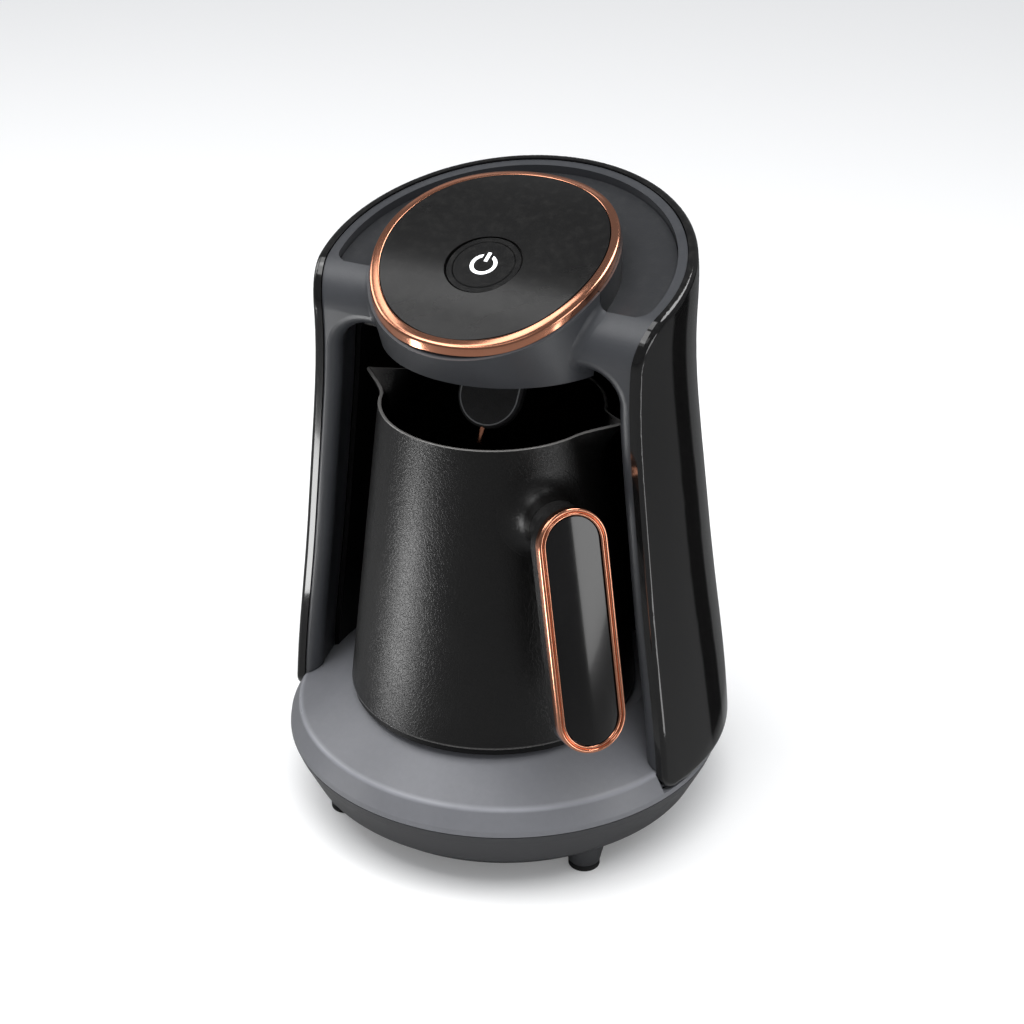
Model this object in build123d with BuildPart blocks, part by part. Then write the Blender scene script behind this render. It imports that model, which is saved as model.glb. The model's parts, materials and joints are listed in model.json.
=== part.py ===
from build123d import *
import os
from math import sin, cos, tan, radians, sqrt

# Electric Turkish coffee maker: a base with a cordless connector, a wrap-around column with
# an open bay, an overhanging control head, a swinging sensor arm and a lift-off coffee pot.
# Millimetres, +Z up, the user stands at -Y, the origin is on the floor under the base centre.

os.makedirs("parts", exist_ok=True)

# ---------------------------------------------------------------- driving dimensions
SEAT = 0.3            # gap between two pieces of one body that are seated together
PLAY = 0.08           # radial running clearance of guided and pivoting pieces
APART = 0.3           # gap between two different bodies at rest

# base
BASE_R = 85.0         # widest line of the base, where ring and pan meet
PAN_H = 30.8          # height of that line above the floor
FOOT_H = 8.0          # underside of the pan above the floor
PAN_IN = 15.0         # flat underside, measured in from that line
RING_H = 21.1         # rise of the base ring above the parting line
SHOULDER_IN = 3.9     # edge between the side and the sloping top of the ring, measured in
SHOULDER_H = 9.5      # its height above the parting line
DISH_OUT = 2.2        # inner end of the sloping top, out from the foot of the pot
BASE_T = 2.6          # wall of ring and pan
FOOT_IN = 3.8         # feet circle, in from the edge of the flat underside
FOOT_AZ = 49.0        # half angle between the front feet, and between the back ones
FOOT_TURN = 5.0       # the whole feet circle is turned by this much to the right
PAD_R = 6.0

# column
WALL_T = 3.4          # rear shell wall
PILLAR_T = 6.6        # grey pillar wall
LINER_T = 1.8
COL_Y = 5.6           # column axis offset at floor level, towards the back
COL_LEAN = 1.9        # forward lean of the column axis, degrees
COL_OVER = 1.9        # how far the foot of the column stands out over the base
COL_TOP_R = 70.0      # widest radius of its head part
COL_CLOSE = 3.4       # how much the column closes in again above that
WAIST_R = 69.8        # narrowest radius, just below the head
COL_H = 246.0
SHELL_GAP_H = 2.2     # shell edge above the parting line of the base
FRONT_Y = -26.3       # front edge of shell and pillars
RIM_H = 215.0         # height where the front edge and the sloping rim would meet
RIM_SLOPE = 15.8      # degrees
RIM_R = 18.0          # rounding of that corner
BAY_BACK_Y = 50.0     # flat back wall of the bay
LINER_Y = -6.0        # front edge of the bay liner
ARCH_H = 198.0        # underside of the bridge over the bay
ARCH_R = 12.0
NOSE_R = 4.2          # rounding of the pillars towards the bay
SHELL_EDGE = 2.0      # rounding of the outer edge of the rear shell
BLEND_R = 3.6         # hollow blend between skirt and pillars
HEEL_R = 6.0          # rounded lower corner of the rear shell
SPLIT_Y = -15.5       # seam between front frame and top cover
BAND_W = 3.4          # raised band of the front frame that runs round beside the shell
BAND_H = 9.0
MOAT_D = 3.0          # depth of the channel around the head
MOAT_R = 6.0          # rounded front corners of that channel

# head
HEAD_Y = -8.15        # head ring centre
RING_R = 44.4         # copper ring outer radius
RING_W = 3.4
RING_BEVEL = 1.3      # fall of its top towards the outside
RING_FLANK = 3.9      # its lower edge below the head face
LIP = 0.8             # head wall outside the ring
HEAD_T = 2.4
SKIRT_Z = 192.0       # lower edge of the head
SKIRT_R = 46.5
SKIRT_Y = 2.9
FACE_Z = 230.6        # head face height at the ring centre
PANEL_T = 2.6

# power button
BTN_Y = -16.8
BTN_R = 11.4
BTN_TILT = 24.5       # degrees
BTN_TRAVEL = 1.5
BEZEL_R = 13.9

# sensor arm
ARM_Y = -2.1          # pivot
ARM_Z = 190.0
ARM_LEAN = 30.0       # degrees forward from vertical
ARM_L = 31.0
ARM_R = 12.6
ARM_T = 3.2
PIVOT_R = 1.5
PROBE_R = 1.0
PROBE_OUT = 6.3

# pot
POT_Y = -9.7
POT_BOT_R = 55.1
POT_TOP_R = 42.0
POT_BOT_Z = 54.7
POT_TOP_Z = 171.2
POT_T = 1.4
POT_FLOOR_Z = 72.4
SPOUT_TIP = 54.2
SPOUT_UP = 2.0
POST_R = 12.5
POST_H = 10.6         # connector post above the base top

# handle
HANDLE_AZ = 50.8      # azimuth from the front towards the right
GRIP_D = 78.5         # outer face from the pot axis, at grip mid height
GRIP_Z = 115.6
GRIP_TILT = 15.9
GRIP_L = 89.2
GRIP_W = 26.4
GRIP_T = 8.4
NECK_R = 9.5
FLARE_R = 16.0        # foot of the flare on the pot wall
CROWN_R = 60.0        # crown of the handle insert

# ---------------------------------------------------------------- derived values
TOP_Z = PAN_H + RING_H                       # flat top of the base under the pot
PAN_R = BASE_R - PAN_IN
SHOULDER_R = BASE_R - SHOULDER_IN
DISH_R = POT_BOT_R + DISH_OUT
FOOT_ORBIT = PAN_R - FOOT_IN
COL_BOT_R = BASE_R + COL_OVER                # column radius near the base
RING_IN = RING_R - RING_W
HEAD_R = RING_R + LIP
FRAME_OFF = WALL_T + SEAT                    # pillar outside, measured in from the column
BAY_OFF = FRAME_OFF + PILLAR_T
POT_UNDER = TOP_Z + APART                    # underside of the pot base
FEET = {"foot_front_right": FOOT_TURN + FOOT_AZ, "foot_back_right": FOOT_TURN + 180 - FOOT_AZ,
        "foot_back_left": FOOT_TURN + 180 + FOOT_AZ, "foot_front_left": FOOT_TURN - FOOT_AZ}


# the head face falls towards the user and flattens at the back: depth from the ring centre, height
FACE_CURVE = [(-52, -25.0), (-40.5, -19.1), (-27, -12.6), (-13.9, -5.7), (0, 0), (14.2, 5.2),
              (28.2, 9.6), (42.7, 13.0), (58, 15.6)]


def face_z(y):
    """Height of the head face at depth y."""
    d = y - HEAD_Y
    for (a, za), (b, zb) in zip(FACE_CURVE, FACE_CURVE[1:]):
        if a <= d <= b:
            return FACE_Z + za + (zb - za) * (d - a) / (b - a)
    return FACE_Z


def below_face(drop):
    """Everything under the head face lowered by drop."""
    with BuildPart() as tool:
        with BuildSketch(Plane.YZ):
            with BuildLine():
                s = Spline(*[(HEAD_Y + a, FACE_Z + b - drop) for a, b in FACE_CURVE])
                Polyline(s @ 1, (HEAD_Y + 58, 150), (HEAD_Y - 52, 150), s @ 0)
            make_face()
        extrude(amount=110, both=True)
    return tool.part


def below_rim(inset, heel=None):
    """Everything behind the front edge and under the sloping rim, moved in by inset.

    With a heel height, it ends there and its lower front corner is rounded too.
    """
    s = tan(radians(RIM_SLOPE))
    y0 = FRONT_Y + inset
    z0 = RIM_H - inset / cos(radians(RIM_SLOPE)) + inset * s
    with BuildPart() as tool:
        with BuildSketch(Plane.YZ) as side_view:
            with BuildLine():
                low = heel or 20
                Polyline((y0, low), (y0, z0), (y0 + 140, z0 + 140 * s), (y0 + 140, low), close=True)
            make_face()
            fillet(side_view.vertices().sort_by(Axis.X)[0:2].sort_by(Axis.Y)[1], max(RIM_R - inset, 1.0))
            if heel:
                fillet(side_view.vertices().sort_by(Axis.Y)[0:2].sort_by(Axis.X)[0], HEEL_R)
        extrude(amount=110, both=True)
    return tool.part


def column(inset, z0, z1):
    """The column as a solid of revolution about its leaning axis, cut flat at z0 and z1."""
    t = radians(COL_LEAN)
    base = Plane(origin=(0, COL_Y, 0), x_dir=(1, 0, 0), z_dir=(0, -cos(t), -sin(t)))
    h = COL_H
    slope = COL_BOT_R - WAIST_R
    pts = [(COL_BOT_R, h * 0.114), (WAIST_R + slope * 0.836, h * 0.244),
           (WAIST_R + slope * 0.532, h * 0.407), (WAIST_R + slope * 0.27, h * 0.569),
           (WAIST_R + slope * 0.11, h * 0.671), (WAIST_R + slope * 0.016, h * 0.752),
           (WAIST_R, h * 0.825), (COL_TOP_R, h * 0.9), (COL_TOP_R - COL_CLOSE * 0.55, h * 0.967),
           (COL_TOP_R - COL_CLOSE, h * 1.008)]
    pts = [(r - inset, z) for r, z in pts]
    with BuildPart() as tool:
        with BuildSketch(base):
            with BuildLine():
                c = Spline(*pts)
                Polyline(c @ 1, (0, pts[-1][1]), (0, pts[0][1]), c @ 0)
            make_face()
        revolve(axis=Axis((0, COL_Y, 0), (0, -sin(t), cos(t))))
        with Locations((0, 0, (z0 + z1) / 2)):
            Box(300, 300, z1 - z0, mode=Mode.INTERSECT)
    return tool.part


def inner_y(x, z):
    """Depth of the inner face of the rear shell at width x and height z."""
    slope = COL_BOT_R - WAIST_R
    low, high = (WAIST_R + slope * 0.836, COL_H * 0.244), (WAIST_R + slope * 0.532, COL_H * 0.407)
    r = low[0] + (high[0] - low[0]) * (z - low[1]) / (high[1] - low[1]) - WALL_T
    return COL_Y - z * tan(radians(COL_LEAN)) + sqrt(r * r - x * x)


def base_body(grow):
    """The outer form of the base ring as a solid, grown by a gap."""
    with BuildPart() as tool:
        with BuildSketch(Plane.XZ):
            with BuildLine():
                Polyline((0, 10), (BASE_R + grow, 10), (BASE_R + grow, PAN_H + 2.0),
                         (SHOULDER_R + grow, PAN_H + SHOULDER_H + grow * 0.5),
                         (DISH_R + grow * 0.5, TOP_Z + grow), (0, TOP_Z + grow), close=True)
            make_face()
        revolve(axis=Axis.Z)
    return tool.part


def skirt(inset, top_up):
    """The head skirt: from the round lower edge to the tilted round under the ring."""
    tilt = 25.0
    mid = FACE_Z - RING_FLANK - 0.4
    top_plane = Plane(origin=(0, HEAD_Y, mid + top_up), x_dir=(1, 0, 0),
                      z_dir=(0, -sin(radians(tilt)), cos(radians(tilt))))
    with BuildPart() as tool:
        with BuildSketch(Plane.XY.offset(SKIRT_Z)):
            with Locations((0, SKIRT_Y)):
                Circle(SKIRT_R - inset)
        with BuildSketch(top_plane):
            Ellipse(HEAD_R - inset, (HEAD_R - inset) / cos(radians(tilt)))
        loft(ruled=True)
    return tool.part


def skirt_below():
    """Everything under the tilted plane where the skirt ends and the upright wall starts."""
    z = FACE_Z - RING_FLANK - 0.4
    s = tan(radians(25.0))
    with BuildPart() as tool:
        with BuildSketch(Plane.YZ):
            with BuildLine():
                Polyline((HEAD_Y - 90, z - 90 * s), (HEAD_Y + 90, z + 90 * s), (HEAD_Y + 90, 100),
                         (HEAD_Y - 90, 100), close=True)
            make_face()
        extrude(amount=110, both=True)
    return tool.part


def slab(x, y0, y1, z0, z1):
    with BuildPart() as tool:
        with Locations((0, (y0 + y1) / 2, (z0 + z1) / 2)):
            Box(x, y1 - y0, z1 - z0)
    return tool.part


def disc(r, z0, z1, y=0.0, x=0.0):
    with BuildPart() as tool:
        with Locations((x, y, (z0 + z1) / 2)):
            Cylinder(r, z1 - z0)
    return tool.part


def rod(plane, r, a, b):
    """A cylinder along the plane's normal, between the distances a and b."""
    with BuildPart() as tool:
        with BuildSketch(plane.offset(min(a, b))):
            Circle(r)
        extrude(amount=abs(b - a))
    return tool.part


def oblong(plane, length, width, a, b):
    """A block with round ends, long along the plane's second direction."""
    with BuildPart() as tool:
        with BuildSketch(plane.offset(min(a, b))):
            SlotOverall(length, width, rotation=90)
        extrude(amount=abs(b - a))
    return tool.part


PIVOT = Plane(origin=(0, ARM_Y, ARM_Z), x_dir=(0, 1, 0), z_dir=(1, 0, 0))


# the exported pieces are moved so that the origin is under the middle of the whole object
SHELL_Z = PAN_H + SHELL_GAP_H
MID_Y = (column(0, SHELL_Z, 60).bounding_box().max.Y - BASE_R) / 2


def save(block, name):
    piece = block.part.moved(Location((0, -MID_Y, 0)))
    piece.label = name
    export_step(piece, "parts/" + name + ".step")


# ================================================================ base
with BuildPart() as base_pan:
    with BuildSketch(Plane.XZ):
        with BuildLine():
            Polyline((0, FOOT_H), (PAN_R, FOOT_H), (77.6 / 85 * BASE_R, FOOT_H + 6.6),
                     (BASE_R - 1.4, PAN_H - 4.0), (BASE_R, PAN_H - SEAT), (BASE_R - BASE_T, PAN_H - SEAT),
                     (BASE_R - 1.4 - BASE_T, PAN_H - 5.0), (77.6 / 85 * BASE_R - BASE_T, FOOT_H + 8.4),
                     (PAN_R - 1.6, FOOT_H + BASE_T), (0, FOOT_H + BASE_T), close=True)
        pan_face = make_face()
        fillet([v for v in pan_face.vertices() if abs(v.X - PAN_R) < 0.1 and abs(v.Y - FOOT_H) < 0.1
                or abs(v.X - 77.6 / 85 * BASE_R) < 0.1 and abs(v.Y - FOOT_H - 6.6) < 0.1], 4.0)
    revolve(axis=Axis.Z)
    for az in FEET.values():
        p = (FOOT_ORBIT * sin(radians(az)), -FOOT_ORBIT * cos(radians(az)))
        with Locations((p[0], p[1], (2.6 + FOOT_H + 6) / 2)):
            Cone(6.0, 8.6, FOOT_H + 6 - 2.6)
        with Locations((p[0], p[1], 2.6 + 3.2)):
            Cylinder(2.9, 6.4, mode=Mode.SUBTRACT)
    # screw posts that reach up to the base ring
    for az in (0, 120, 240):
        p = (40 * sin(radians(az)), 40 * cos(radians(az)))
        with Locations((p[0], p[1], FOOT_H + 9)):
            Cylinder(4.6, 18)
        with Locations((p[0], p[1], FOOT_H + 9)):
            Cylinder(1.9, 18.1, mode=Mode.SUBTRACT)
        with Locations((p[0], p[1], FOOT_H + 1.6)):
            Cylinder(3.5, 3.2, mode=Mode.SUBTRACT)
    # vent slots in the underside
    for x in (-18, -9, 0, 9, 18):
        with Locations((x, -4, FOOT_H)):
            Box(3.0, 26, 8, mode=Mode.SUBTRACT)
    # cord gland hole at the back
    with Locations(Location((0, BASE_R - 4, FOOT_H + 13.5), (90, 0, 0))):
        Cylinder(5.6, 20, mode=Mode.SUBTRACT)
save(base_pan, "base_pan")

for name, az in FEET.items():
    p = (FOOT_ORBIT * sin(radians(az)), -FOOT_ORBIT * cos(radians(az)))
    with BuildPart() as foot:
        with Locations((p[0], p[1], 1.15)):
            Cylinder(PAD_R, 2.3)
        fillet(foot.edges().group_by(Axis.Z)[0], 0.7)
        with Locations((p[0], p[1], 5.2)):
            Cylinder(2.6, 6.2)
    save(foot, name)

with BuildPart() as base_ring:
    with BuildSketch(Plane.XZ):
        with BuildLine():
            Polyline((BASE_R, PAN_H), (BASE_R - 0.3, PAN_H + 2.0), (SHOULDER_R, PAN_H + SHOULDER_H),
                     (DISH_R, TOP_Z), (POST_R + 1.0, TOP_Z), (POST_R + 1.0, TOP_Z - BASE_T),
                     (DISH_R - 1.0, TOP_Z - BASE_T), (SHOULDER_R - 2.2, PAN_H + SHOULDER_H - BASE_T),
                     (BASE_R - 0.3 - BASE_T, PAN_H + 2.0), (BASE_R - BASE_T, PAN_H), close=True)
        ring_face = make_face()
        fillet([v for v in ring_face.vertices() if abs(v.X - SHOULDER_R) < 0.1
                and abs(v.Y - PAN_H - SHOULDER_H) < 0.1], 3.0)
        fillet([v for v in ring_face.vertices() if abs(v.X - DISH_R) < 0.1
                and abs(v.Y - TOP_Z) < 0.1], 4.0)
    revolve(axis=Axis.Z)
    # move the connector opening under the pot axis
    with Locations((0, 0, TOP_Z - BASE_T / 2)):
        Cylinder(POST_R + 1.5, BASE_T)
    with Locations((0, POT_Y, TOP_Z - BASE_T / 2)):
        Cylinder(POST_R + 3.2, BASE_T + 1, mode=Mode.SUBTRACT)
    # posts for the pan screws
    for az in (0, 120, 240):
        p = (40 * sin(radians(az)), 40 * cos(radians(az)))
        z0 = FOOT_H + 18 + SEAT
        with Locations((p[0], p[1], (z0 + TOP_Z - 1) / 2)):
            Cylinder(4.6, TOP_Z - 1 - z0)
        with Locations((p[0], p[1], z0 + 6)):
            Cylinder(1.5, 12, mode=Mode.SUBTRACT)
    # ledge that carries the rear shell
    ledge = column(FRAME_OFF, 20, 70)
    outer = slab(220, FRONT_Y - SEAT, 120, PAN_H + SHELL_GAP_H - SEAT, 70)
    add(outer - ledge, mode=Mode.SUBTRACT)
    # flange that closes the gap between the ring and the back of the shell
    flange = column(FRAME_OFF, PAN_H + SHELL_GAP_H - SEAT, PAN_H + SHELL_GAP_H + 2.2)
    add((flange & slab(220, FRONT_Y - SEAT, 120, 20, 70)) - disc(BASE_R - 5.5, 20, 60))
save(base_ring, "base_ring")

for i, az in enumerate((0, 120, 240)):
    p = (40 * sin(radians(az)), 40 * cos(radians(az)))
    with BuildPart() as screw:
        with Locations((p[0], p[1], FOOT_H + 1.5)):
            Cylinder(3.1, 2.4)
        with Locations((p[0], p[1], FOOT_H + 12.5)):
            Cylinder(1.4, 20)
        with Locations((p[0], p[1], FOOT_H + 0.8)):
            Box(4.2, 0.8, 1.0, mode=Mode.SUBTRACT)
            Box(0.8, 4.2, 1.0, mode=Mode.SUBTRACT)
    save(screw, "pan_screw_" + "abc"[i])

# connector of the cordless pot
with BuildPart() as base_connector:
    add(disc(POST_R + 7, TOP_Z - BASE_T - SEAT - 3, TOP_Z - BASE_T - SEAT, POT_Y))
    add(disc(POST_R, TOP_Z - BASE_T - SEAT, TOP_Z + POST_H, POT_Y))
    chamfer(base_connector.edges().group_by(Axis.Z)[-1], 1.0)
    add(disc(POST_R + 3, TOP_Z - 13, TOP_Z - BASE_T - SEAT - 3, POT_Y))
    # well of the centre contact and groove of the ring contact
    add(disc(4.2, TOP_Z - 6, TOP_Z + POST_H + 1, POT_Y), mode=Mode.SUBTRACT)
    groove = disc(POST_R + 0.1, TOP_Z + 4.4, TOP_Z + 7.6, POT_Y)
    add(groove - disc(POST_R - 1.6, TOP_Z + 4, TOP_Z + 8, POT_Y), mode=Mode.SUBTRACT)
save(base_connector, "base_connector")

with BuildPart() as centre_contact:
    add(disc(3.9, TOP_Z - 5.7, TOP_Z - 4.2, POT_Y))
    add(disc(3.2, TOP_Z - 4.2, TOP_Z + POST_H - 1.2, POT_Y))
    add(disc(1.9 + PLAY, TOP_Z - 2.5, TOP_Z + POST_H, POT_Y), mode=Mode.SUBTRACT)
save(centre_contact, "centre_contact")

with BuildPart() as ring_contact:
    add(disc(POST_R - 0.25, TOP_Z + 4.6, TOP_Z + 7.4, POT_Y))
    add(disc(POST_R - 1.4, TOP_Z + 4, TOP_Z + 8, POT_Y), mode=Mode.SUBTRACT)
save(ring_contact, "ring_contact")

with BuildPart() as connector_seal:
    add(disc(POST_R + 2.9, TOP_Z - BASE_T + 0.1, TOP_Z - 0.2, POT_Y))
    add(disc(POST_R + 0.3, TOP_Z - BASE_T, TOP_Z, POT_Y), mode=Mode.SUBTRACT)
save(connector_seal, "connector_seal")

with BuildPart() as cord_gland:
    with Locations(Location((0, BASE_R - 6, FOOT_H + 13.5), (90, 0, 0))):
        Cylinder(5.3, 14)
    with Locations(Location((0, BASE_R + 1.6, FOOT_H + 13.5), (90, 0, 0))):
        Cylinder(7.2, 2.4)
    with Locations(Location((0, BASE_R - 12.6, FOOT_H + 13.5), (90, 0, 0))):
        Cylinder(6.6, 2.0)
    with Locations(Location((0, BASE_R - 3, FOOT_H + 13.5), (90, 0, 0))):
        Cylinder(3.4, 30, mode=Mode.SUBTRACT)
save(cord_gland, "cord_gland")

# ================================================================ column
with BuildPart() as rear_shell:
    add(column(0, SHELL_Z, 300))
    add(column(WALL_T, 20, 300), mode=Mode.SUBTRACT)
    add(below_rim(0, heel=SHELL_Z), mode=Mode.INTERSECT)
    # small rounding all along the outer edge
    core = column(WALL_T / 2, 20, 300)
    fillet([e for e in rear_shell.edges() if e.geom_type != GeomType.LINE
            and e.bounding_box().max.Z > SHELL_Z + 1 and not core.is_inside(e @ 0.5)], SHELL_EDGE)
save(rear_shell, "rear_shell")

with BuildPart() as bay_room:
    # the open bay with its rounded upper corner
    add(column(BAY_OFF, 20, ARCH_H))
    fillet(bay_room.edges().group_by(Axis.Z)[-1], ARCH_R)

def cover_room(inset):
    """Where the top cover lies, inside the band and behind the front wall, moved in by inset."""
    with BuildPart() as tool:
        add(column(FRAME_OFF + BAND_W + inset, ARCH_H + 4, 300))
        add(slab(220, SPLIT_Y + inset, 120, 150, 300), mode=Mode.INTERSECT)
        add(disc(HEAD_R, 150, 300, HEAD_Y), mode=Mode.SUBTRACT)
        fillet([e for e in tool.edges() if e.bounding_box().size.Z > 15
                and abs(e.center().Y - SPLIT_Y - inset) < 0.1], MOAT_R - inset)
        add(disc(HEAD_R, ARCH_H + 4, 300, HEAD_Y) & slab(220, SPLIT_Y + inset, 120, 150, 300))
    return tool.part


with BuildPart() as front_frame:
    # pillars that pass into a bridge over the bay
    add(column(FRAME_OFF, SHELL_Z, 300))
    add(bay_room.part, mode=Mode.SUBTRACT)
    add(slab(220, FRONT_Y + 0.7, LINER_Y - SEAT, 20, 300), mode=Mode.INTERSECT)
    core = column(FRAME_OFF + 1, 20, 300)
    nose = [e for e in front_frame.edges() if abs(e.bounding_box().min.Y - FRONT_Y - 0.7) < 0.01
            and e.bounding_box().size.Y < 0.01 and SHELL_Z + 1 < (e @ 0.5).Z < ARCH_H + 1
            and core.is_inside(e @ 0.5)]
    fillet(nose, NOSE_R)
    add(slab(220, SPLIT_Y, 60, ARCH_H - 8, 300) & column(BAY_OFF, 20, 300), mode=Mode.SUBTRACT)
    add(cover_room(0), mode=Mode.SUBTRACT)
    add(base_body(SEAT), mode=Mode.SUBTRACT)
    add(below_rim(0.7), mode=Mode.INTERSECT)
    band = column(FRAME_OFF, ARCH_H + 4, 300) & slab(220, LINER_Y - SEAT - 1, 120, 150, 300) & below_rim(0.7)
    add(band - below_rim(0.7 + BAND_H) - column(FRAME_OFF + BAND_W, ARCH_H, 300))
    # skirt in front of the seam
    add(skirt(0, 0) & slab(220, -90, SPLIT_Y, 150, 300))
    blend = [e for e in front_frame.edges() if e.length > 10 and SKIRT_Z + 10 < e.center().Z < SKIRT_Z + 22
             and abs(abs(e.center().X) - SKIRT_R + 5) < 6.5 and FRONT_Y < e.center().Y < FRONT_Y + 10]
    fillet(blend, BLEND_R)
    # upright wall between the skirt and the ring
    wall = disc(HEAD_R, SKIRT_Z + 8, 300, HEAD_Y) - skirt_below()
    add(wall & slab(220, -90, SPLIT_Y, 150, 300) & below_face(RING_FLANK))
    # hollow inside
    add(skirt(HEAD_T, 0), mode=Mode.SUBTRACT)
    add(disc(HEAD_R - HEAD_T, SKIRT_Z + 8, 300, HEAD_Y) - skirt_below(), mode=Mode.SUBTRACT)
save(front_frame, "front_frame")

with BuildPart() as top_cover:
    # floor of the channel around the head, with its rim turned down inside the band
    plate = cover_room(SEAT)
    add(plate & below_rim(0.7 + MOAT_D))
    under = column(FRAME_OFF + BAND_W + SEAT + 2.2, 150, 300) & below_rim(0.7 + MOAT_D + 2.4)
    add(under & slab(220, SPLIT_Y + SEAT + 2.2, 120, 150, 300), mode=Mode.SUBTRACT)
    add(disc(HEAD_R, 200, 300, HEAD_Y) & slab(220, SPLIT_Y + SEAT, 120, 150, 300) & below_face(RING_FLANK)
        - below_rim(0.7 + MOAT_D + 2.4))
    add(disc(HEAD_R - HEAD_T, 150, 300, HEAD_Y), mode=Mode.SUBTRACT)
save(top_cover, "top_cover")

with BuildPart() as liner_room:
    add(column(BAY_OFF + SEAT + LINER_T, 10, ARCH_H - SEAT - LINER_T))
    fillet(liner_room.edges().group_by(Axis.Z)[-1], ARCH_R)

with BuildPart() as bay_liner:
    add(column(BAY_OFF + SEAT, TOP_Z - 20, ARCH_H - SEAT))
    fillet(bay_liner.edges().group_by(Axis.Z)[-1], ARCH_R)
    add(slab(220, LINER_Y, BAY_BACK_Y, 20, 300), mode=Mode.INTERSECT)
    add(base_body(SEAT), mode=Mode.SUBTRACT)
    add(liner_room.part & slab(220, -60, BAY_BACK_Y - LINER_T, 10, 300), mode=Mode.SUBTRACT)
save(bay_liner, "bay_liner")

# ================================================================ head
with BuildPart() as head_floor:
    floor_top = ARCH_H - SEAT - LINER_T - SEAT
    under_head = skirt(HEAD_T + SEAT, 0) & slab(220, -90, SPLIT_Y + 1, floor_top - 2.0, floor_top)
    under_bay = liner_room.part & slab(220, SPLIT_Y + SEAT, 16, floor_top - 2.0, floor_top)
    add(under_head + under_bay)
    for x in (-9.1, 9.1):
        with BuildSketch(Plane.YZ.offset(x - 1.5)):
            with Locations((ARM_Y, ARM_Z)):
                Circle(3.4)
            with Locations((ARM_Y, (ARM_Z + floor_top - 1) / 2)):
                Rectangle(6.8, floor_top - 1 - ARM_Z)
        extrude(amount=3.0)
    add(rod(PIVOT, PIVOT_R + 0.03, -20, 20), mode=Mode.SUBTRACT)
save(head_floor, "head_floor")

with BuildPart() as hinge_pin:
    add(rod(PIVOT, PIVOT_R, -10.9, 10.9))
    chamfer(hinge_pin.edges().group_by(Axis.X)[0] + hinge_pin.edges().group_by(Axis.X)[-1], 0.3)
save(hinge_pin, "hinge_pin")

with BuildPart() as panel_ring:
    add(disc(RING_R, 150, 300, HEAD_Y) & below_face(0))
    add(disc(RING_IN, 150, 300, HEAD_Y), mode=Mode.SUBTRACT)
    add(below_face(RING_FLANK - SEAT), mode=Mode.SUBTRACT)
    # top falling towards the outside
    flank = panel_ring.faces().filter_by(GeomType.CYLINDER).sort_by(SortBy.AREA)[-1]
    chamfer(flank.edges().sort_by(Axis.Z)[-1], RING_BEVEL, RING_W - 0.5, reference=flank)
    # ledge under the panel
    ledge = (disc(RING_IN + 0.8, 150, 300, HEAD_Y) - disc(RING_IN - 2.4, 150, 300, HEAD_Y))
    add((ledge & below_face(0.1 + PANEL_T + SEAT)) - below_face(PANEL_T + 1.9))
save(panel_ring, "panel_ring")

btn = Plane(origin=(0, BTN_Y, face_z(BTN_Y)), x_dir=(1, 0, 0),
            z_dir=(0, -sin(radians(BTN_TILT)), cos(radians(BTN_TILT))))
BEZEL_TOP = -0.7
CAP_TOP = -0.5
BARREL = 7.0
BOARD = -17.5
STEM_END = BOARD + 4.5 + 0.2 + BTN_TRAVEL
with BuildPart() as top_panel:
    add(disc(RING_IN - SEAT, 150, 300, HEAD_Y) & below_face(0.1))
    add(below_face(0.1 + PANEL_T), mode=Mode.SUBTRACT)
    add(rod(btn, BEZEL_R + 2.2, -5.6, -1.5))
    add(rod(btn, BEZEL_R + SEAT, BEZEL_TOP - 1.5, 12), mode=Mode.SUBTRACT)
    add(rod(btn, BTN_R + 1.6 + SEAT, -20, 5), mode=Mode.SUBTRACT)
    for x in (-19.5, 19.5):
        with BuildSketch(btn.offset(BOARD + SEAT)):
            with Locations((x, 0)):
                Circle(3.2)
                Circle(1.1, mode=Mode.SUBTRACT)
        extrude(amount=-BOARD - SEAT - 1.2)
save(top_panel, "top_panel")

with BuildPart() as button_bezel:
    add(rod(btn, BEZEL_R, BEZEL_TOP - 1.2, BEZEL_TOP))
    chamfer(button_bezel.edges().group_by(Axis(btn.origin, btn.z_dir))[-1], 0.5)
    add(rod(btn, BTN_R + 1.6, -BARREL, BEZEL_TOP - 1.0))
    add(rod(btn, BTN_R + PLAY, -BARREL - 1, 2), mode=Mode.SUBTRACT)
save(button_bezel, "button_bezel")

ICON_R = 4.3
with BuildPart() as power_button:
    add(rod(btn, BTN_R, -BARREL - 0.5, CAP_TOP))
    chamfer(power_button.edges().group_by(Axis(btn.origin, btn.z_dir))[-1], 0.4)
    add(rod(btn, BTN_R + 1.2, -BARREL - APART - 1.6, -BARREL - APART))
    add(rod(btn, 8.4, -20, CAP_TOP - 2.2), mode=Mode.SUBTRACT)
    with BuildSketch(btn.offset(CAP_TOP - 3)):
        Circle(ICON_R + 0.75)
        Circle(ICON_R - 0.75, mode=Mode.SUBTRACT)
        with Locations((0, ICON_R)):
            Rectangle(3.6, 4.4, mode=Mode.SUBTRACT)
        with Locations((0, ICON_R - 0.6)):
            Rectangle(1.5, 4.6)
    extrude(amount=5, mode=Mode.SUBTRACT)
save(power_button, "power_button")

with BuildPart() as icon_guide:
    add(rod(btn, 8.1, CAP_TOP - 4.6, CAP_TOP - 2.5))
    with BuildSketch(btn.offset(CAP_TOP - 3)):
        Circle(ICON_R + 0.65)
        Circle(ICON_R - 0.65, mode=Mode.SUBTRACT)
        with Locations((0, ICON_R)):
            Rectangle(3.8, 4.4, mode=Mode.SUBTRACT)
        with Locations((0, ICON_R - 0.6)):
            Rectangle(1.3, 4.4)
    extrude(amount=3.05)
save(icon_guide, "icon_guide")

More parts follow.
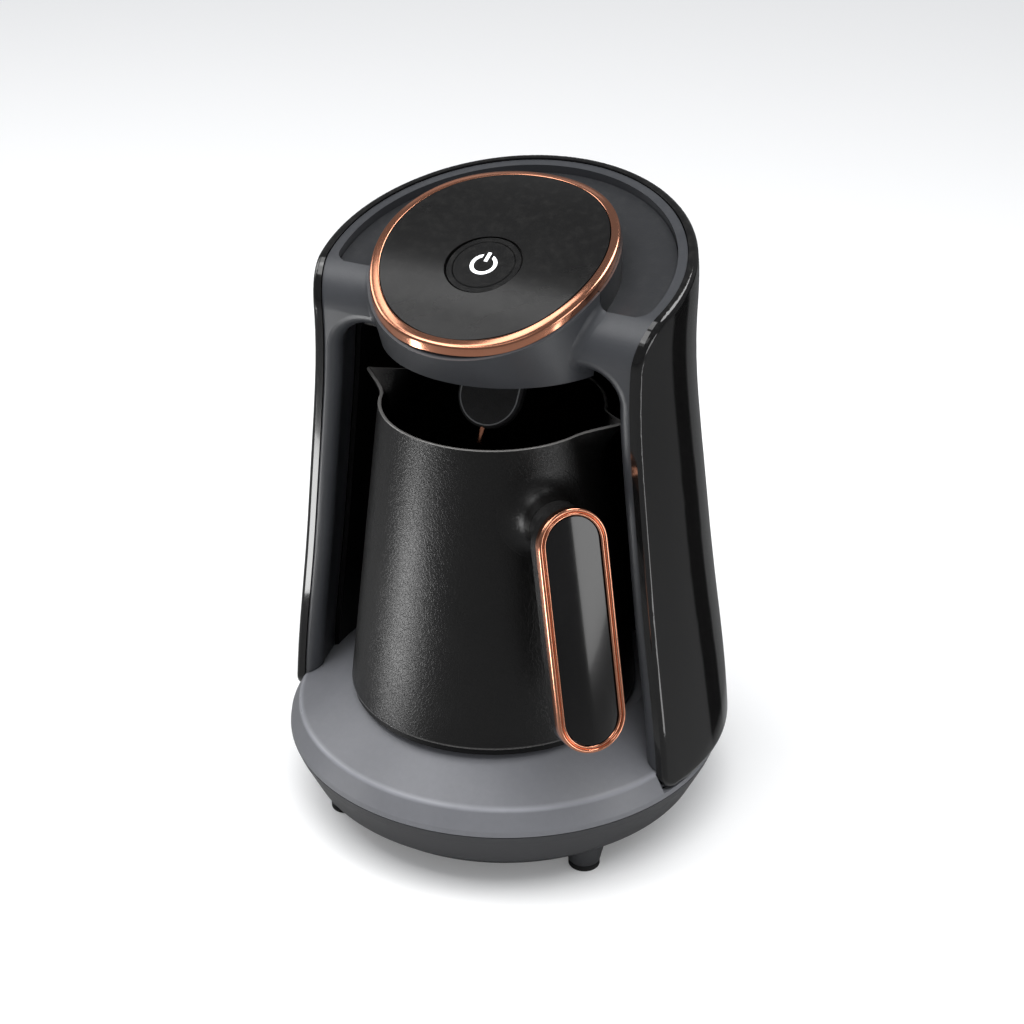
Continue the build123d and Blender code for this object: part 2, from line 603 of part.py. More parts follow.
with BuildPart() as button_stem:
    add(rod(btn, 8.1, CAP_TOP - 7.2, CAP_TOP - 4.9))
    add(rod(btn, 2.2, STEM_END, CAP_TOP - 7.0))
save(button_stem, "button_stem")

with BuildPart() as button_spring:
    spring_h = -BOARD - 7.7 - 2 * SEAT - 0.9
    path = Helix(pitch=spring_h / 4.0, height=spring_h, radius=5.2,
                 center=btn.offset(BOARD + SEAT + 0.45).origin, direction=btn.z_dir)
    with BuildSketch(Plane(origin=path @ 0, z_dir=path % 0)):
        Circle(0.35)
    sweep(path=path, is_frenet=True)
save(button_spring, "button_spring")

with BuildPart() as control_board:
    with BuildSketch(btn.offset(BOARD - 1.6)):
        with Locations((0, 2)):
            RectangleRounded(48, 40, 3)
        with Locations((-19.5, 0), (19.5, 0)):
            Circle(1.5, mode=Mode.SUBTRACT)
    extrude(amount=1.6)
save(control_board, "control_board")

with BuildPart() as tact_switch:
    with BuildSketch(btn.offset(BOARD + 0.1)):
        RectangleRounded(6.2, 6.2, 0.5)
    extrude(amount=3.3)
    add(rod(btn, 1.7, BOARD + 3.0, BOARD + 4.5))
save(tact_switch, "tact_switch")

with BuildPart() as icon_led:
    with BuildSketch(btn.offset(BOARD + 0.1)):
        with Locations((0, 8.6)):
            Rectangle(3.4, 2.6)
    extrude(amount=1.4)
save(icon_led, "icon_led")

with BuildPart() as buzzer:
    with BuildSketch(btn.offset(BOARD - 1.7 - 6.0)):
        with Locations((10, 12)):
            Circle(6.0)
            Circle(1.0, mode=Mode.SUBTRACT)
    extrude(amount=6.0)
save(buzzer, "buzzer")

for name, x in (("board_screw_left", -19.5), ("board_screw_right", 19.5)):
    with BuildPart() as screw:
        at = btn.offset(0).move(Location(btn.x_dir * x))
        add(rod(at, 2.4, BOARD - 1.6 - 0.1 - 1.6, BOARD - 1.6 - 0.1))
        add(rod(at, 1.0, BOARD - 2.0, BOARD + 7.0))
    save(screw, name)

# power electronics behind the bay
BOARD_Y = BAY_BACK_Y + 8.9    # the parts on the board stand on this face
with BuildPart() as power_board:
    with Locations((0, BAY_BACK_Y + 8.0, 112)):
        Box(58, 1.6, 78)
    for x in (-24, 24):
        for z in (79, 145):
            with Locations(Location((x, BAY_BACK_Y + 8, z), (90, 0, 0))):
                Cylinder(1.7, 4, mode=Mode.SUBTRACT)
save(power_board, "power_board")

with BuildPart() as power_relay:
    relay_d = (inner_y(21.5, 104) - BOARD_Y) * 0.95
    with Locations((-12, BOARD_Y + relay_d / 2, 96)):
        Box(19, relay_d, 15.5)
    chamfer(power_relay.edges().filter_by(Axis.Y), 0.8)
save(power_relay, "power_relay")

with BuildPart() as transformer:
    coil_d = (inner_y(23, 110) - BOARD_Y) * 0.95
    with Locations((13, BOARD_Y + coil_d * 0.45, 100)):
        Box(20, coil_d * 0.9, 16)
    with Locations((13, BOARD_Y + coil_d / 2, 100)):
        Box(12, coil_d, 20)
save(transformer, "transformer")

for name, x in (("power_screw_left", -24), ("power_screw_right", 24)):
    with BuildPart() as screw:
        at = Plane(origin=(x, BAY_BACK_Y + 8.9, 145), x_dir=(1, 0, 0), z_dir=(0, 1, 0))
        add(rod(at, 2.8, 0, 1.8))
        add(rod(at, 1.2, -8.0, 0.2))
    save(screw, name)

# ================================================================ sensor arm
lean = radians(ARM_LEAN)
arm = Plane(origin=(0, ARM_Y, ARM_Z), x_dir=(1, 0, 0), z_dir=(0, -cos(lean), sin(lean)))
with BuildPart() as sensor_arm:
    with BuildSketch(arm.offset(-ARM_T / 2)):
        with BuildLine():
            Polyline((-ARM_R, -(ARM_L - ARM_R)), (-ARM_R - 0.6, -4.6), (-7.0, -4.6), (-7.0, 0), (7.0, 0),
                     (7.0, -4.6), (ARM_R + 0.6, -4.6), (ARM_R, -(ARM_L - ARM_R)))
            ThreePointArc((ARM_R, -(ARM_L - ARM_R)), (0, -ARM_L), (-ARM_R, -(ARM_L - ARM_R)))
        make_face()
    extrude(amount=ARM_T)
    rim = [e for e in sensor_arm.faces().sort_by(Axis((0, 0, 0), arm.z_dir))[-1].edges()
           if e.center().Z < ARM_Z - 4]
    chamfer(rim, 0.6)
    add(rod(PIVOT, 3.2, -7.2, 7.2))
    add(rod(PIVOT, PIVOT_R + PLAY, -8, 8), mode=Mode.SUBTRACT)
    tip = Plane(origin=(0, ARM_Y, ARM_Z), x_dir=(1, 0, 0), z_dir=(0, -sin(lean), -cos(lean)))
    add(rod(tip, PROBE_R + 0.05, ARM_L - 8, ARM_L + 1), mode=Mode.SUBTRACT)
save(sensor_arm, "sensor_arm")

with BuildPart() as sensor_back:
    with BuildSketch(arm.offset(-ARM_T / 2 - 0.1 - 1.4)):
        with BuildLine():
            Polyline((-ARM_R + 2, -(ARM_L - ARM_R)), (-ARM_R + 2, -7.5), (ARM_R - 2, -7.5),
                     (ARM_R - 2, -(ARM_L - ARM_R)))
            ThreePointArc((ARM_R - 2, -(ARM_L - ARM_R)), (0, -ARM_L + 2), (-ARM_R + 2, -(ARM_L - ARM_R)))
        make_face()
    extrude(amount=1.4)
save(sensor_back, "sensor_back")

with BuildPart() as probe_pin:
    add(rod(tip, PROBE_R, ARM_L - 7.7, ARM_L + PROBE_OUT))
    fillet(probe_pin.edges().group_by(Axis(tip.origin, tip.z_dir))[-1], 0.7)
save(probe_pin, "probe_pin")

# ================================================================ pot
pot_slope = (POT_BOT_R - POT_TOP_R) / (POT_TOP_Z - POT_BOT_Z)


def pot_r(z):
    return POT_BOT_R - pot_slope * (z - POT_BOT_Z)


u = Vector(sin(radians(HANDLE_AZ)), -cos(radians(HANDLE_AZ)), 0)
side = Vector(cos(radians(HANDLE_AZ)), sin(radians(HANDLE_AZ)), 0)
tau = radians(GRIP_TILT)
grip = Plane(origin=Vector(0, POT_Y, GRIP_Z) + u * GRIP_D, x_dir=side,
             z_dir=u * cos(tau) + Vector(0, 0, 1) * sin(tau))
NECK_Z = GRIP_Z + (GRIP_L - GRIP_W) / 2 * cos(tau)
neck = Plane(origin=(0, POT_Y, NECK_Z), x_dir=side, z_dir=u)
BOSS_D = pot_r(NECK_Z) + 8.4


# the lips grow out of the wall: height from the rim, half angle at the wall, depth of the root in
# the wall, reach from the wall
LIP_LEVELS = [(-20, 5, 3.2, -0.9), (-10, 11, 0.6, 1.6), (-4, 15.5, 0.6, 5.4),
              (SPOUT_UP, 18.5, 0.6, SPOUT_TIP - POT_TOP_R)]


def spouts(inset, top):
    """Both pouring lips as solids, moved in by the wall thickness for their insides."""
    with BuildPart() as tool:
        for s in (1, -1):
            above = (SPOUT_UP + top, 18.5, 0.6, SPOUT_TIP - POT_TOP_R + 0.8 * top)
            for dz, angle, root, reach in LIP_LEVELS + [above]:
                wall = pot_r(POT_TOP_Z + dz) - root - inset
                a = radians(angle) - inset / POT_TOP_R
                x0, w = wall * cos(a), wall * sin(a)
                x1 = pot_r(POT_TOP_Z + dz) + reach - 1.5 * inset
                b = 1.1 - 0.4 * inset
                xm, wm = x0 + 0.42 * (x1 - x0), b + 0.36 * (w - b)
                with BuildSketch(Plane.XY.offset(POT_TOP_Z + dz)):
                    with BuildLine():
                        ThreePointArc((s * x0, POT_Y - w), (s * xm, POT_Y - wm), (s * (x1 - b), POT_Y - b))
                        ThreePointArc((s * (x1 - b), POT_Y - b), (s * x1, POT_Y), (s * (x1 - b), POT_Y + b))
                        ThreePointArc((s * (x1 - b), POT_Y + b), (s * xm, POT_Y + wm), (s * x0, POT_Y + w))
                        Line((s * x0, POT_Y + w), (s * x0, POT_Y - w))
                    make_face()
            loft()
    return tool.part


with BuildPart() as pot_vessel:
    with BuildSketch(Plane.XZ.offset(-POT_Y)):
        with BuildLine():
            Polyline((0, POT_BOT_Z), (POT_BOT_R, POT_BOT_Z), (POT_TOP_R, POT_TOP_Z), (0, POT_TOP_Z), close=True)
        make_face()
    revolve(axis=Axis((0, POT_Y, 0), (0, 0, 1)))
    add(spouts(0, 2))
    # sloping upper edges of the lips
    with BuildSketch(Plane.XZ.offset(-POT_Y - 30)):
        for s in (1, -1):
            with BuildLine():
                Polyline((s * 30, POT_TOP_Z), (s * (POT_TOP_R - 1), POT_TOP_Z),
                         (s * (SPOUT_TIP + 4), POT_TOP_Z + SPOUT_UP + 0.6),
                         (s * (SPOUT_TIP + 4), POT_TOP_Z + 20), (s * 30, POT_TOP_Z + 20), close=True)
            make_face()
    extrude(amount=60, mode=Mode.SUBTRACT)
    # handle boss
    w = pot_r(NECK_Z)
    with BuildSketch(Plane(origin=neck.origin, x_dir=neck.y_dir, z_dir=neck.x_dir)):
        with BuildLine():
            a = Line((0, w - 8), (FLARE_R, w - 8))
            b = Line(a @ 1, (FLARE_R, w - 2.9))
            c = ThreePointArc(b @ 1, (FLARE_R - 3.6, w + 0.1), (NECK_R, w + 5.6))
            d = Line(c @ 1, (NECK_R, BOSS_D))
            e = Line(d @ 1, (0, BOSS_D))
            Line(e @ 1, a @ 0)
        make_face()
    revolve(axis=Axis(neck.origin, neck.z_dir))
    # inside of the pot and of its skirt
    with BuildSketch(Plane.XZ.offset(-POT_Y)):
        with BuildLine():
            Polyline((0, POT_FLOOR_Z), (pot_r(POT_FLOOR_Z) - POT_T - 4, POT_FLOOR_Z),
                     (pot_r(POT_FLOOR_Z + 4) - POT_T, POT_FLOOR_Z + 4),
                     (POT_TOP_R - POT_T - pot_slope * 9, POT_TOP_Z + 9), (0, POT_TOP_Z + 9), close=True)
        make_face()
        with BuildLine():
            Polyline((0, POT_BOT_Z - 5), (pot_r(POT_BOT_Z - 5) - POT_T, POT_BOT_Z - 5),
                     (pot_r(POT_FLOOR_Z - 2.4) - POT_T, POT_FLOOR_Z - 2.4), (0, POT_FLOOR_Z - 2.4), close=True)
        make_face()
    revolve(axis=Axis((0, POT_Y, 0), (0, 0, 1)), mode=Mode.SUBTRACT)
    add(spouts(POT_T, 6), mode=Mode.SUBTRACT)
    add(rod(neck, 1.5, BOSS_D - 6.4, BOSS_D + 1), mode=Mode.SUBTRACT)
save(pot_vessel, "pot_vessel")

with BuildPart() as heater_plate:
    add(disc(45, POT_FLOOR_Z - 2.4 - SEAT - 2.5, POT_FLOOR_Z - 2.4 - SEAT, POT_Y))
    for a in (30, 150, 270):
        with Locations((40.5 * cos(radians(a)), POT_Y + 40.5 * sin(radians(a)),
                        (POT_UNDER + 3.8 + POT_FLOOR_Z - 4) / 2)):
            Cylinder(3.0, POT_FLOOR_Z - 4 - POT_UNDER - 3.8)
        with Locations((40.5 * cos(radians(a)), POT_Y + 40.5 * sin(radians(a)), POT_UNDER + 8)):
            Cylinder(1.3, 9, mode=Mode.SUBTRACT)
save(heater_plate, "heater_plate")

with BuildPart() as heating_element:
    with BuildSketch(Plane.XZ.offset(-POT_Y)):
        with Locations((32.5, POT_FLOOR_Z - 5.3 - SEAT - 3.2)):
            Circle(3.2)
    revolve(axis=Axis((0, POT_Y, 0), (0, 0, 1)), revolution_arc=320)
save(heating_element, "heating_element")

with BuildPart() as pot_base_cover:
    add(disc(POT_BOT_R - 0.8, POT_UNDER, POT_UNDER + 2.0, POT_Y))
    add(disc(pot_r(POT_BOT_Z + 5) - POT_T - 0.4, POT_UNDER + 1, POT_BOT_Z + 5, POT_Y))
    add(disc(pot_r(POT_BOT_Z + 5) - POT_T - 2.4, POT_UNDER + 2.0, POT_BOT_Z + 6, POT_Y), mode=Mode.SUBTRACT)
    add(disc(POST_R + 5.2, POT_UNDER - 1, POT_UNDER + 4, POT_Y), mode=Mode.SUBTRACT)
    for a in (30, 150, 270):
        with Locations((40.5 * cos(radians(a)), POT_Y + 40.5 * sin(radians(a)), POT_UNDER + 1.75)):
            Cylinder(4.4, 3.5)
        with Locations((40.5 * cos(radians(a)), POT_Y + 40.5 * sin(radians(a)), POT_UNDER + 1)):
            Cylinder(3.0, 2.0, mode=Mode.SUBTRACT)
            Cylinder(1.6, 9.0, mode=Mode.SUBTRACT)
save(pot_base_cover, "pot_base_cover")

for i, a in enumerate((30, 150, 270)):
    p = (40.5 * cos(radians(a)), POT_Y + 40.5 * sin(radians(a)))
    with BuildPart() as screw:
        with Locations((p[0], p[1], POT_UNDER + 1.0)):
            Cylinder(2.6, 1.4)
        with Locations((p[0], p[1], POT_UNDER + 5.5)):
            Cylinder(1.2, 9.5)
    save(screw, "pot_screw_" + "abc"[i])

with BuildPart() as pot_socket:
    add(disc(POST_R + 4.6, POT_UNDER, TOP_Z + POST_H + 3.4, POT_Y))
    add(disc(POST_R + 8.0, POT_UNDER + 2.3, POT_UNDER + 4.6, POT_Y))
    add(disc(POST_R + PLAY, POT_UNDER - 1, TOP_Z + POST_H + 0.8, POT_Y), mode=Mode.SUBTRACT)
    chamfer([e for e in pot_socket.edges().group_by(Axis.Z)[0] if e.length < 6.3 * (POST_R + 1)], 0.5)
    add(disc(2.4, TOP_Z + POST_H, TOP_Z + POST_H + 9, POT_Y), mode=Mode.SUBTRACT)
save(pot_socket, "pot_socket")

with BuildPart() as socket_pin:
    add(disc(1.9, TOP_Z + 1.5, TOP_Z + POST_H + 4.4, POT_Y))
    chamfer(socket_pin.edges().group_by(Axis.Z)[0], 0.5)
    add(disc(3.4, TOP_Z + POST_H + 3.5, TOP_Z + POST_H + 4.4, POT_Y))
save(socket_pin, "socket_pin")

with BuildPart() as thermostat:
    with Locations((24.0, POT_Y, POT_FLOOR_Z - 5.2 - 0.1 - 3.0)):
        Cylinder(4.6, 6.0)
save(thermostat, "thermostat")

# ================================================================ handle
with BuildPart() as handle_core:
    add(rod(neck, NECK_R, BOSS_D + SEAT, GRIP_D))
    add(oblong(grip, GRIP_L + 40, GRIP_W + 60, -3.2 - SEAT, 40), mode=Mode.SUBTRACT)
    add(oblong(grip, GRIP_L - 0.8, GRIP_W - 0.8, -GRIP_T, -3.2 - SEAT))
    add(rod(neck, 3.4, GRIP_D - 16.2, GRIP_D), mode=Mode.SUBTRACT)
    add(rod(neck, 1.8, BOSS_D - 1, GRIP_D), mode=Mode.SUBTRACT)
save(handle_core, "handle_core")

with BuildPart() as handle_ring:
    add(oblong(grip, GRIP_L, GRIP_W, -3.2, 0))
    fillet(handle_ring.edges().group_by(Axis(grip.origin, grip.z_dir))[-1], 1.5)
    add(oblong(grip, GRIP_L - 5.6, GRIP_W - 5.6, -4, 1), mode=Mode.SUBTRACT)
    fillet(handle_ring.edges().group_by(Axis(grip.origin, grip.z_dir))[-1], 0.9)
save(handle_ring, "handle_ring")

with BuildPart() as handle_insert:
    add(oblong(grip, GRIP_L - 5.6 - 0.5, GRIP_W - 5.6 - 0.5, -3.2, 0.2))
    crown = Plane(origin=grip.origin - grip.z_dir * (CROWN_R + 0.2), x_dir=grip.x_dir, z_dir=grip.y_dir)
    add(rod(crown, CROWN_R, -GRIP_L, GRIP_L), mode=Mode.INTERSECT)
save(handle_insert, "handle_insert")

with BuildPart() as handle_screw:
    add(rod(neck, 3.0, GRIP_D - 15.9, GRIP_D - 13.7))
    add(rod(neck, 1.4, BOSS_D - 5.6, GRIP_D - 15.8))
save(handle_screw, "handle_screw")
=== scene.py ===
"""Looks of an electric Turkish coffee maker: finishes, pot, rings, arm trim, spring and studio stage."""
import json
from math import sin, cos, radians, pi, sqrt, atan2, hypot
import numpy as np
import bpy
from bpy.props import FloatProperty, FloatVectorProperty, PointerProperty
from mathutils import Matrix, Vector

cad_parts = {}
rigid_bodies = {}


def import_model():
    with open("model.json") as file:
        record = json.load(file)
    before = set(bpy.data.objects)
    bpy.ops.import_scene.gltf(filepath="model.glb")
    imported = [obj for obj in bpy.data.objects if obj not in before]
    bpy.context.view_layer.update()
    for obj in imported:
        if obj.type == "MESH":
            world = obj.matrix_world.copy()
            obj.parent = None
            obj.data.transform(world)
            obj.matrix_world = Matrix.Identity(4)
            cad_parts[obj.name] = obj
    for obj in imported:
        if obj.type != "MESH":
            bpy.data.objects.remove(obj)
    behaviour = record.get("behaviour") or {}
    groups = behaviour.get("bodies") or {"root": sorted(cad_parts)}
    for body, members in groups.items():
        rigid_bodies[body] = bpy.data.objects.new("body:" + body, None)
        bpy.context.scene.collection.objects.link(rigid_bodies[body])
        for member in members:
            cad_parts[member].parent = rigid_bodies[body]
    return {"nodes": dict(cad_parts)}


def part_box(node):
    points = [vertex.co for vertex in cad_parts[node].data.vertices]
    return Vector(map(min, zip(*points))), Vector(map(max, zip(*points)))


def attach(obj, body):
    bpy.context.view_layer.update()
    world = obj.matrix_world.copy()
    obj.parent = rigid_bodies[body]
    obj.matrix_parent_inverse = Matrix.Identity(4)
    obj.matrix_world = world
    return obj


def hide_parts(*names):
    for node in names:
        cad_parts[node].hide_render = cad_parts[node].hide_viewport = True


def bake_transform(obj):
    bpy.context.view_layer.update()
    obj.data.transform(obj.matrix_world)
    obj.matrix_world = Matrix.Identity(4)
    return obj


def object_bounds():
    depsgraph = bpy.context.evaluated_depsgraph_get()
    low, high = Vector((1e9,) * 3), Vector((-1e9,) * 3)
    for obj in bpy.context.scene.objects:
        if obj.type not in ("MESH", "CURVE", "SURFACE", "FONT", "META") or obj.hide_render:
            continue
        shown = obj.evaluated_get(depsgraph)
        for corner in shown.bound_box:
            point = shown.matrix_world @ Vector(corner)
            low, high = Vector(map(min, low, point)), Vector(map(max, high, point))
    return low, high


bl_info = {
    "name": "Coffee Maker Dresser",
    "version": (1, 0, 0),
    "blender": (4, 5, 0),
    "location": "View3D > Sidebar > Coffee Maker",
    "description": "Finishes and detail pieces for an electric Turkish coffee maker",
    "category": "Object",
}

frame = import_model()
NODES = frame["nodes"]
CAD_BOX = [list(v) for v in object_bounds()]
MM = 0.001


def node_mid(node):
    """The middle of a node's box."""
    lo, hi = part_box(node)
    return (lo + hi) / 2


POT_AXIS = Vector((0, node_mid("heater_plate").y, 0))
POT_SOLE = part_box("pot_vessel")[0].z
BUTTON_TILT = radians(24.5)     # lean of the button's axis towards the front
ARM_LEAN = radians(60.0)        # turn of the sensing arm's face from level towards the front


# ---------------------------------------------------------------- settings
class FinishSettings(bpy.types.PropertyGroup):
    """Colours and gloss of the finishes."""
    slate: FloatVectorProperty(name="Slate plastic", description="Matte grey plastic of the base",
                               subtype="COLOR", size=3, min=0, max=1, default=(0.150, 0.153, 0.166))
    graphite: FloatVectorProperty(name="Graphite plastic",
                                  description="Darker grey of the column and the head",
                                  subtype="COLOR", size=3, min=0, max=1, default=(0.040, 0.042, 0.047))
    shell: FloatVectorProperty(name="Gloss black", description="Polished rear shell and handle insert",
                               subtype="COLOR", size=3, min=0, max=1, default=(0.0035, 0.0034, 0.0034))
    panel: FloatVectorProperty(name="Satin black", description="Control panel plastic",
                               subtype="COLOR", size=3, min=0, max=1, default=(0.0065, 0.0063, 0.0062))
    copper: FloatVectorProperty(name="Copper trim", description="Plated trims and probe",
                                subtype="COLOR", size=3, min=0, max=1, default=(0.90, 0.41, 0.26))
    coating: FloatVectorProperty(name="Pot coating", description="Baked coating of the pot",
                                 subtype="COLOR", size=3, min=0, max=1, default=(0.0028, 0.0026, 0.0025))
    slate_gloss: FloatProperty(name="Slate roughness", description="Roughness of the housing plastic",
                               subtype="FACTOR", min=0, max=1, default=0.38)
    shell_gloss: FloatProperty(name="Shell roughness", description="Roughness of the polished shell",
                               subtype="FACTOR", min=0, max=1, default=0.09)


class StageSettings(bpy.types.PropertyGroup):
    """Camera and light of the stage."""
    azimuth: FloatProperty(name="Camera azimuth", description="Turn of the camera from the front",
                           subtype="ANGLE", default=radians(26.9))
    elevation: FloatProperty(name="Camera elevation", description="Height angle of the camera",
                             subtype="ANGLE", default=radians(28.1))
    distance: FloatProperty(name="Camera distance", description="Camera to the middle of the object",
                            unit="LENGTH", default=0.8345)
    lens: FloatProperty(name="Lens", description="Focal length on a 36 mm sensor",
                        unit="CAMERA", default=77.34)
    key: FloatProperty(name="Overhead light", description="Power of the overhead softbox",
                       unit="POWER", default=14.5)
    fill: FloatProperty(name="Room light", description="Strength of the even light of the room",
                        min=0, max=2, default=0.54)
    floor: FloatVectorProperty(name="Floor", description="Colour of the floor", subtype="COLOR", size=3,
                               min=0, max=1, default=(0.90, 0.90, 0.90))


class PotSettings(bpy.types.PropertyGroup):
    """Sizes of the pot."""
    foot_radius: FloatProperty(name="Foot radius", description="Outside, at the foot", unit="LENGTH",
                               default=0.0551)
    rim_radius: FloatProperty(name="Rim radius", description="Outside, at the rim", unit="LENGTH",
                              default=0.0420)
    rim_height: FloatProperty(name="Rim height", description="Height of the rim between the lips",
                              unit="LENGTH", default=0.1712)
    wall: FloatProperty(name="Wall", description="Thickness of the wall", unit="LENGTH", default=0.0014)
    lip_reach: FloatProperty(name="Lip reach", description="How far the lips are drawn out", unit="LENGTH",
                             default=0.011834)
    lip_angle: FloatProperty(name="Lip width", description="Half angle of a lip at the rim",
                             subtype="ANGLE", default=radians(19.5))
    lip_depth: FloatProperty(name="Lip depth", description="How far down the wall a lip starts",
                             unit="LENGTH", default=0.022)
    lip_rise: FloatProperty(name="Lip rise", description="How far a lip's tip stands over the rim",
                            unit="LENGTH", default=0.0020)
    boss_angle: FloatProperty(name="Handle angle", description="From the front towards the right",
                              subtype="ANGLE", default=radians(50.8))
    boss_height: FloatProperty(name="Boss height", description="Height of the handle neck", unit="LENGTH",
                               default=0.1458)
    neck_radius: FloatProperty(name="Neck radius", description="Radius of the handle neck", unit="LENGTH",
                               default=0.0095)
    flare: FloatProperty(name="Flare", description="Width of the soft flare round the neck", unit="LENGTH",
                         default=0.0075)


class RingSettings(bpy.types.PropertyGroup):
    """Sizes of the copper rings."""
    radius: FloatProperty(name="Panel ring radius", description="Outside", unit="LENGTH", default=0.0444)
    grip_length: FloatProperty(name="Handle ring length", description="Outside", unit="LENGTH",
                               default=0.0892)
    grip_width: FloatProperty(name="Handle ring width", description="Outside", unit="LENGTH",
                              default=0.0264)
    grip_reach: FloatProperty(name="Handle reach", description="Pot axis to the outer face", unit="LENGTH",
                              default=0.0785)
    grip_height: FloatProperty(name="Handle height", description="Height of its middle", unit="LENGTH",
                               default=0.1156)
    grip_tilt: FloatProperty(name="Handle tilt", description="Lean of the handle", subtype="ANGLE",
                             default=radians(15.9))


class ArmSettings(bpy.types.PropertyGroup):
    """Sizes of the sensing arm's trim."""
    bead: FloatProperty(name="Bead radius", description="Radius of the bead round the arm", unit="LENGTH",
                        default=0.00028)
    tongue: FloatProperty(name="Tongue radius", description="Radius of the arm's round end", unit="LENGTH",
                          default=0.0120)
    pin: FloatProperty(name="Probe radius", description="Radius of the probe", unit="LENGTH",
                       default=0.00135)
    pin_length: FloatProperty(name="Probe length", description="With the part inside the arm",
                              unit="LENGTH", default=0.0136)


# ---------------------------------------------------------------- node helpers
FLOAT, VECTOR, COLOR = "NodeSocketFloat", "NodeSocketVector", "NodeSocketColor"
HEIGHT_AND_MASK = [("Height", FLOAT), ("Mask", FLOAT)]


def new_group(name, ins, outs):
    """An empty shader group, with what its inputs give and what its outputs take."""
    g = bpy.data.node_groups.new(name, "ShaderNodeTree")
    for label, kind, default in ins:
        s = g.interface.new_socket(label, in_out="INPUT", socket_type=kind)
        if default is not None:
            s.default_value = default
    for label, kind in outs:
        g.interface.new_socket(label, in_out="OUTPUT", socket_type=kind)
    return g, g.nodes.new("NodeGroupInput").outputs, g.nodes.new("NodeGroupOutput").inputs


def add(tree, kind, inputs=None, **settings):
    """A node with its settings, and its inputs as {name or number: value or socket}."""
    n = tree.nodes.new(kind)
    for key, v in settings.items():
        setattr(n, key, v)
    for key, v in (inputs or {}).items():
        if hasattr(v, "is_linked"):
            tree.links.new(v, n.inputs[key])
        else:
            n.inputs[key].default_value = v
    return n


def calc(tree, op, a, b=None, clamp=False):
    """What a maths node makes of one or two numbers or sockets."""
    inputs = {0: a} if b is None else {0: a, 1: b}
    return add(tree, "ShaderNodeMath", inputs, operation=op, use_clamp=clamp).outputs[0]


def spread(tree, value, lo, hi, to_lo=0.0, to_hi=1.0):
    """A value taken from one range to another, and held inside it."""
    ends = {"Value": value, "From Min": lo, "From Max": hi, "To Min": to_lo, "To Max": to_hi}
    return add(tree, "ShaderNodeMapRange", ends).outputs["Result"]


def mix(tree, factor, a, b):
    """Colour a to colour b by factor."""
    a, b = (c if hasattr(c, "is_linked") else (*c, 1) for c in (a, b))
    return add(tree, "ShaderNodeMix", {0: factor, 6: a, 7: b}, data_type="RGBA").outputs[2]


def noise(tree, vector, scale, detail=2.0, rough=0.5, twist=0.0):
    """A cloudy value between 0 and 1."""
    inputs = {"Vector": vector, "Scale": scale, "Detail": detail, "Roughness": rough, "Distortion": twist}
    return add(tree, "ShaderNodeTexNoise", inputs).outputs[0]


def axes(tree, vector):
    """The X, Y and Z of a vector."""
    return add(tree, "ShaderNodeSeparateXYZ", {"Vector": vector}).outputs


def normal_z(tree):
    """How far a face looks up."""
    return axes(tree, tree.nodes.new("ShaderNodeNewGeometry").outputs["Normal"])["Z"]


def shade(color, k):
    """A colour made darker or paler."""
    return tuple(min(c * k, 1) for c in color)


# ---------------------------------------------------------------- shared effects
def moulded_grain():
    """A fine spark-eroded texture, uneven in broader patches."""
    g, i, o = new_group("Moulded Grain", [("Vector", VECTOR, None), ("Scale", FLOAT, 900.0),
                                          ("Coarse", FLOAT, 0.35)], HEIGHT_AND_MASK)
    fine = noise(g, i["Vector"], i["Scale"], 3.0, 0.55)
    broad = noise(g, i["Vector"], calc(g, "MULTIPLY", i["Scale"], 0.28))
    g.links.new(calc(g, "ADD", fine, calc(g, "MULTIPLY", broad, i["Coarse"])), o["Height"])
    g.links.new(spread(g, broad, 0.35, 0.65), o["Mask"])
    return g


def uneven_gloss():
    """Gloss that varies in patches, where hands and cloths have been."""
    g, i, o = new_group("Uneven Gloss", [("Vector", VECTOR, None), ("Roughness", FLOAT, 0.3),
                                         ("Amount", FLOAT, 0.05), ("Scale", FLOAT, 14.0)],
                        [("Roughness", FLOAT), ("Mask", FLOAT)])
    mask = spread(g, noise(g, i["Vector"], i["Scale"], 4.0, 0.6, 0.6), 0.32, 0.68)
    change = calc(g, "MULTIPLY", calc(g, "SUBTRACT", mask, 0.5), i["Amount"])
    g.links.new(calc(g, "ADD", i["Roughness"], change, clamp=True), o["Roughness"])
    g.links.new(mask, o["Mask"])
    return g


def settled_dust():
    """Fine dust on faces that look up."""
    g, i, o = new_group("Settled Dust", [("Color", COLOR, None), ("Vector", VECTOR, None),
                                         ("Amount", FLOAT, 0.05)], [("Color", COLOR), ("Mask", FLOAT)])
    specks = noise(g, i["Vector"], 260.0, 5.0, 0.75)
    fall = calc(g, "MULTIPLY", spread(g, normal_z(g), 0.35, 1.0), spread(g, specks, 0.48, 0.75))
    amount = calc(g, "MULTIPLY", fall, i["Amount"], clamp=True)
    g.links.new(mix(g, amount, i["Color"], (0.32, 0.31, 0.29)), o["Color"])
    g.links.new(amount, o["Mask"])
    return g


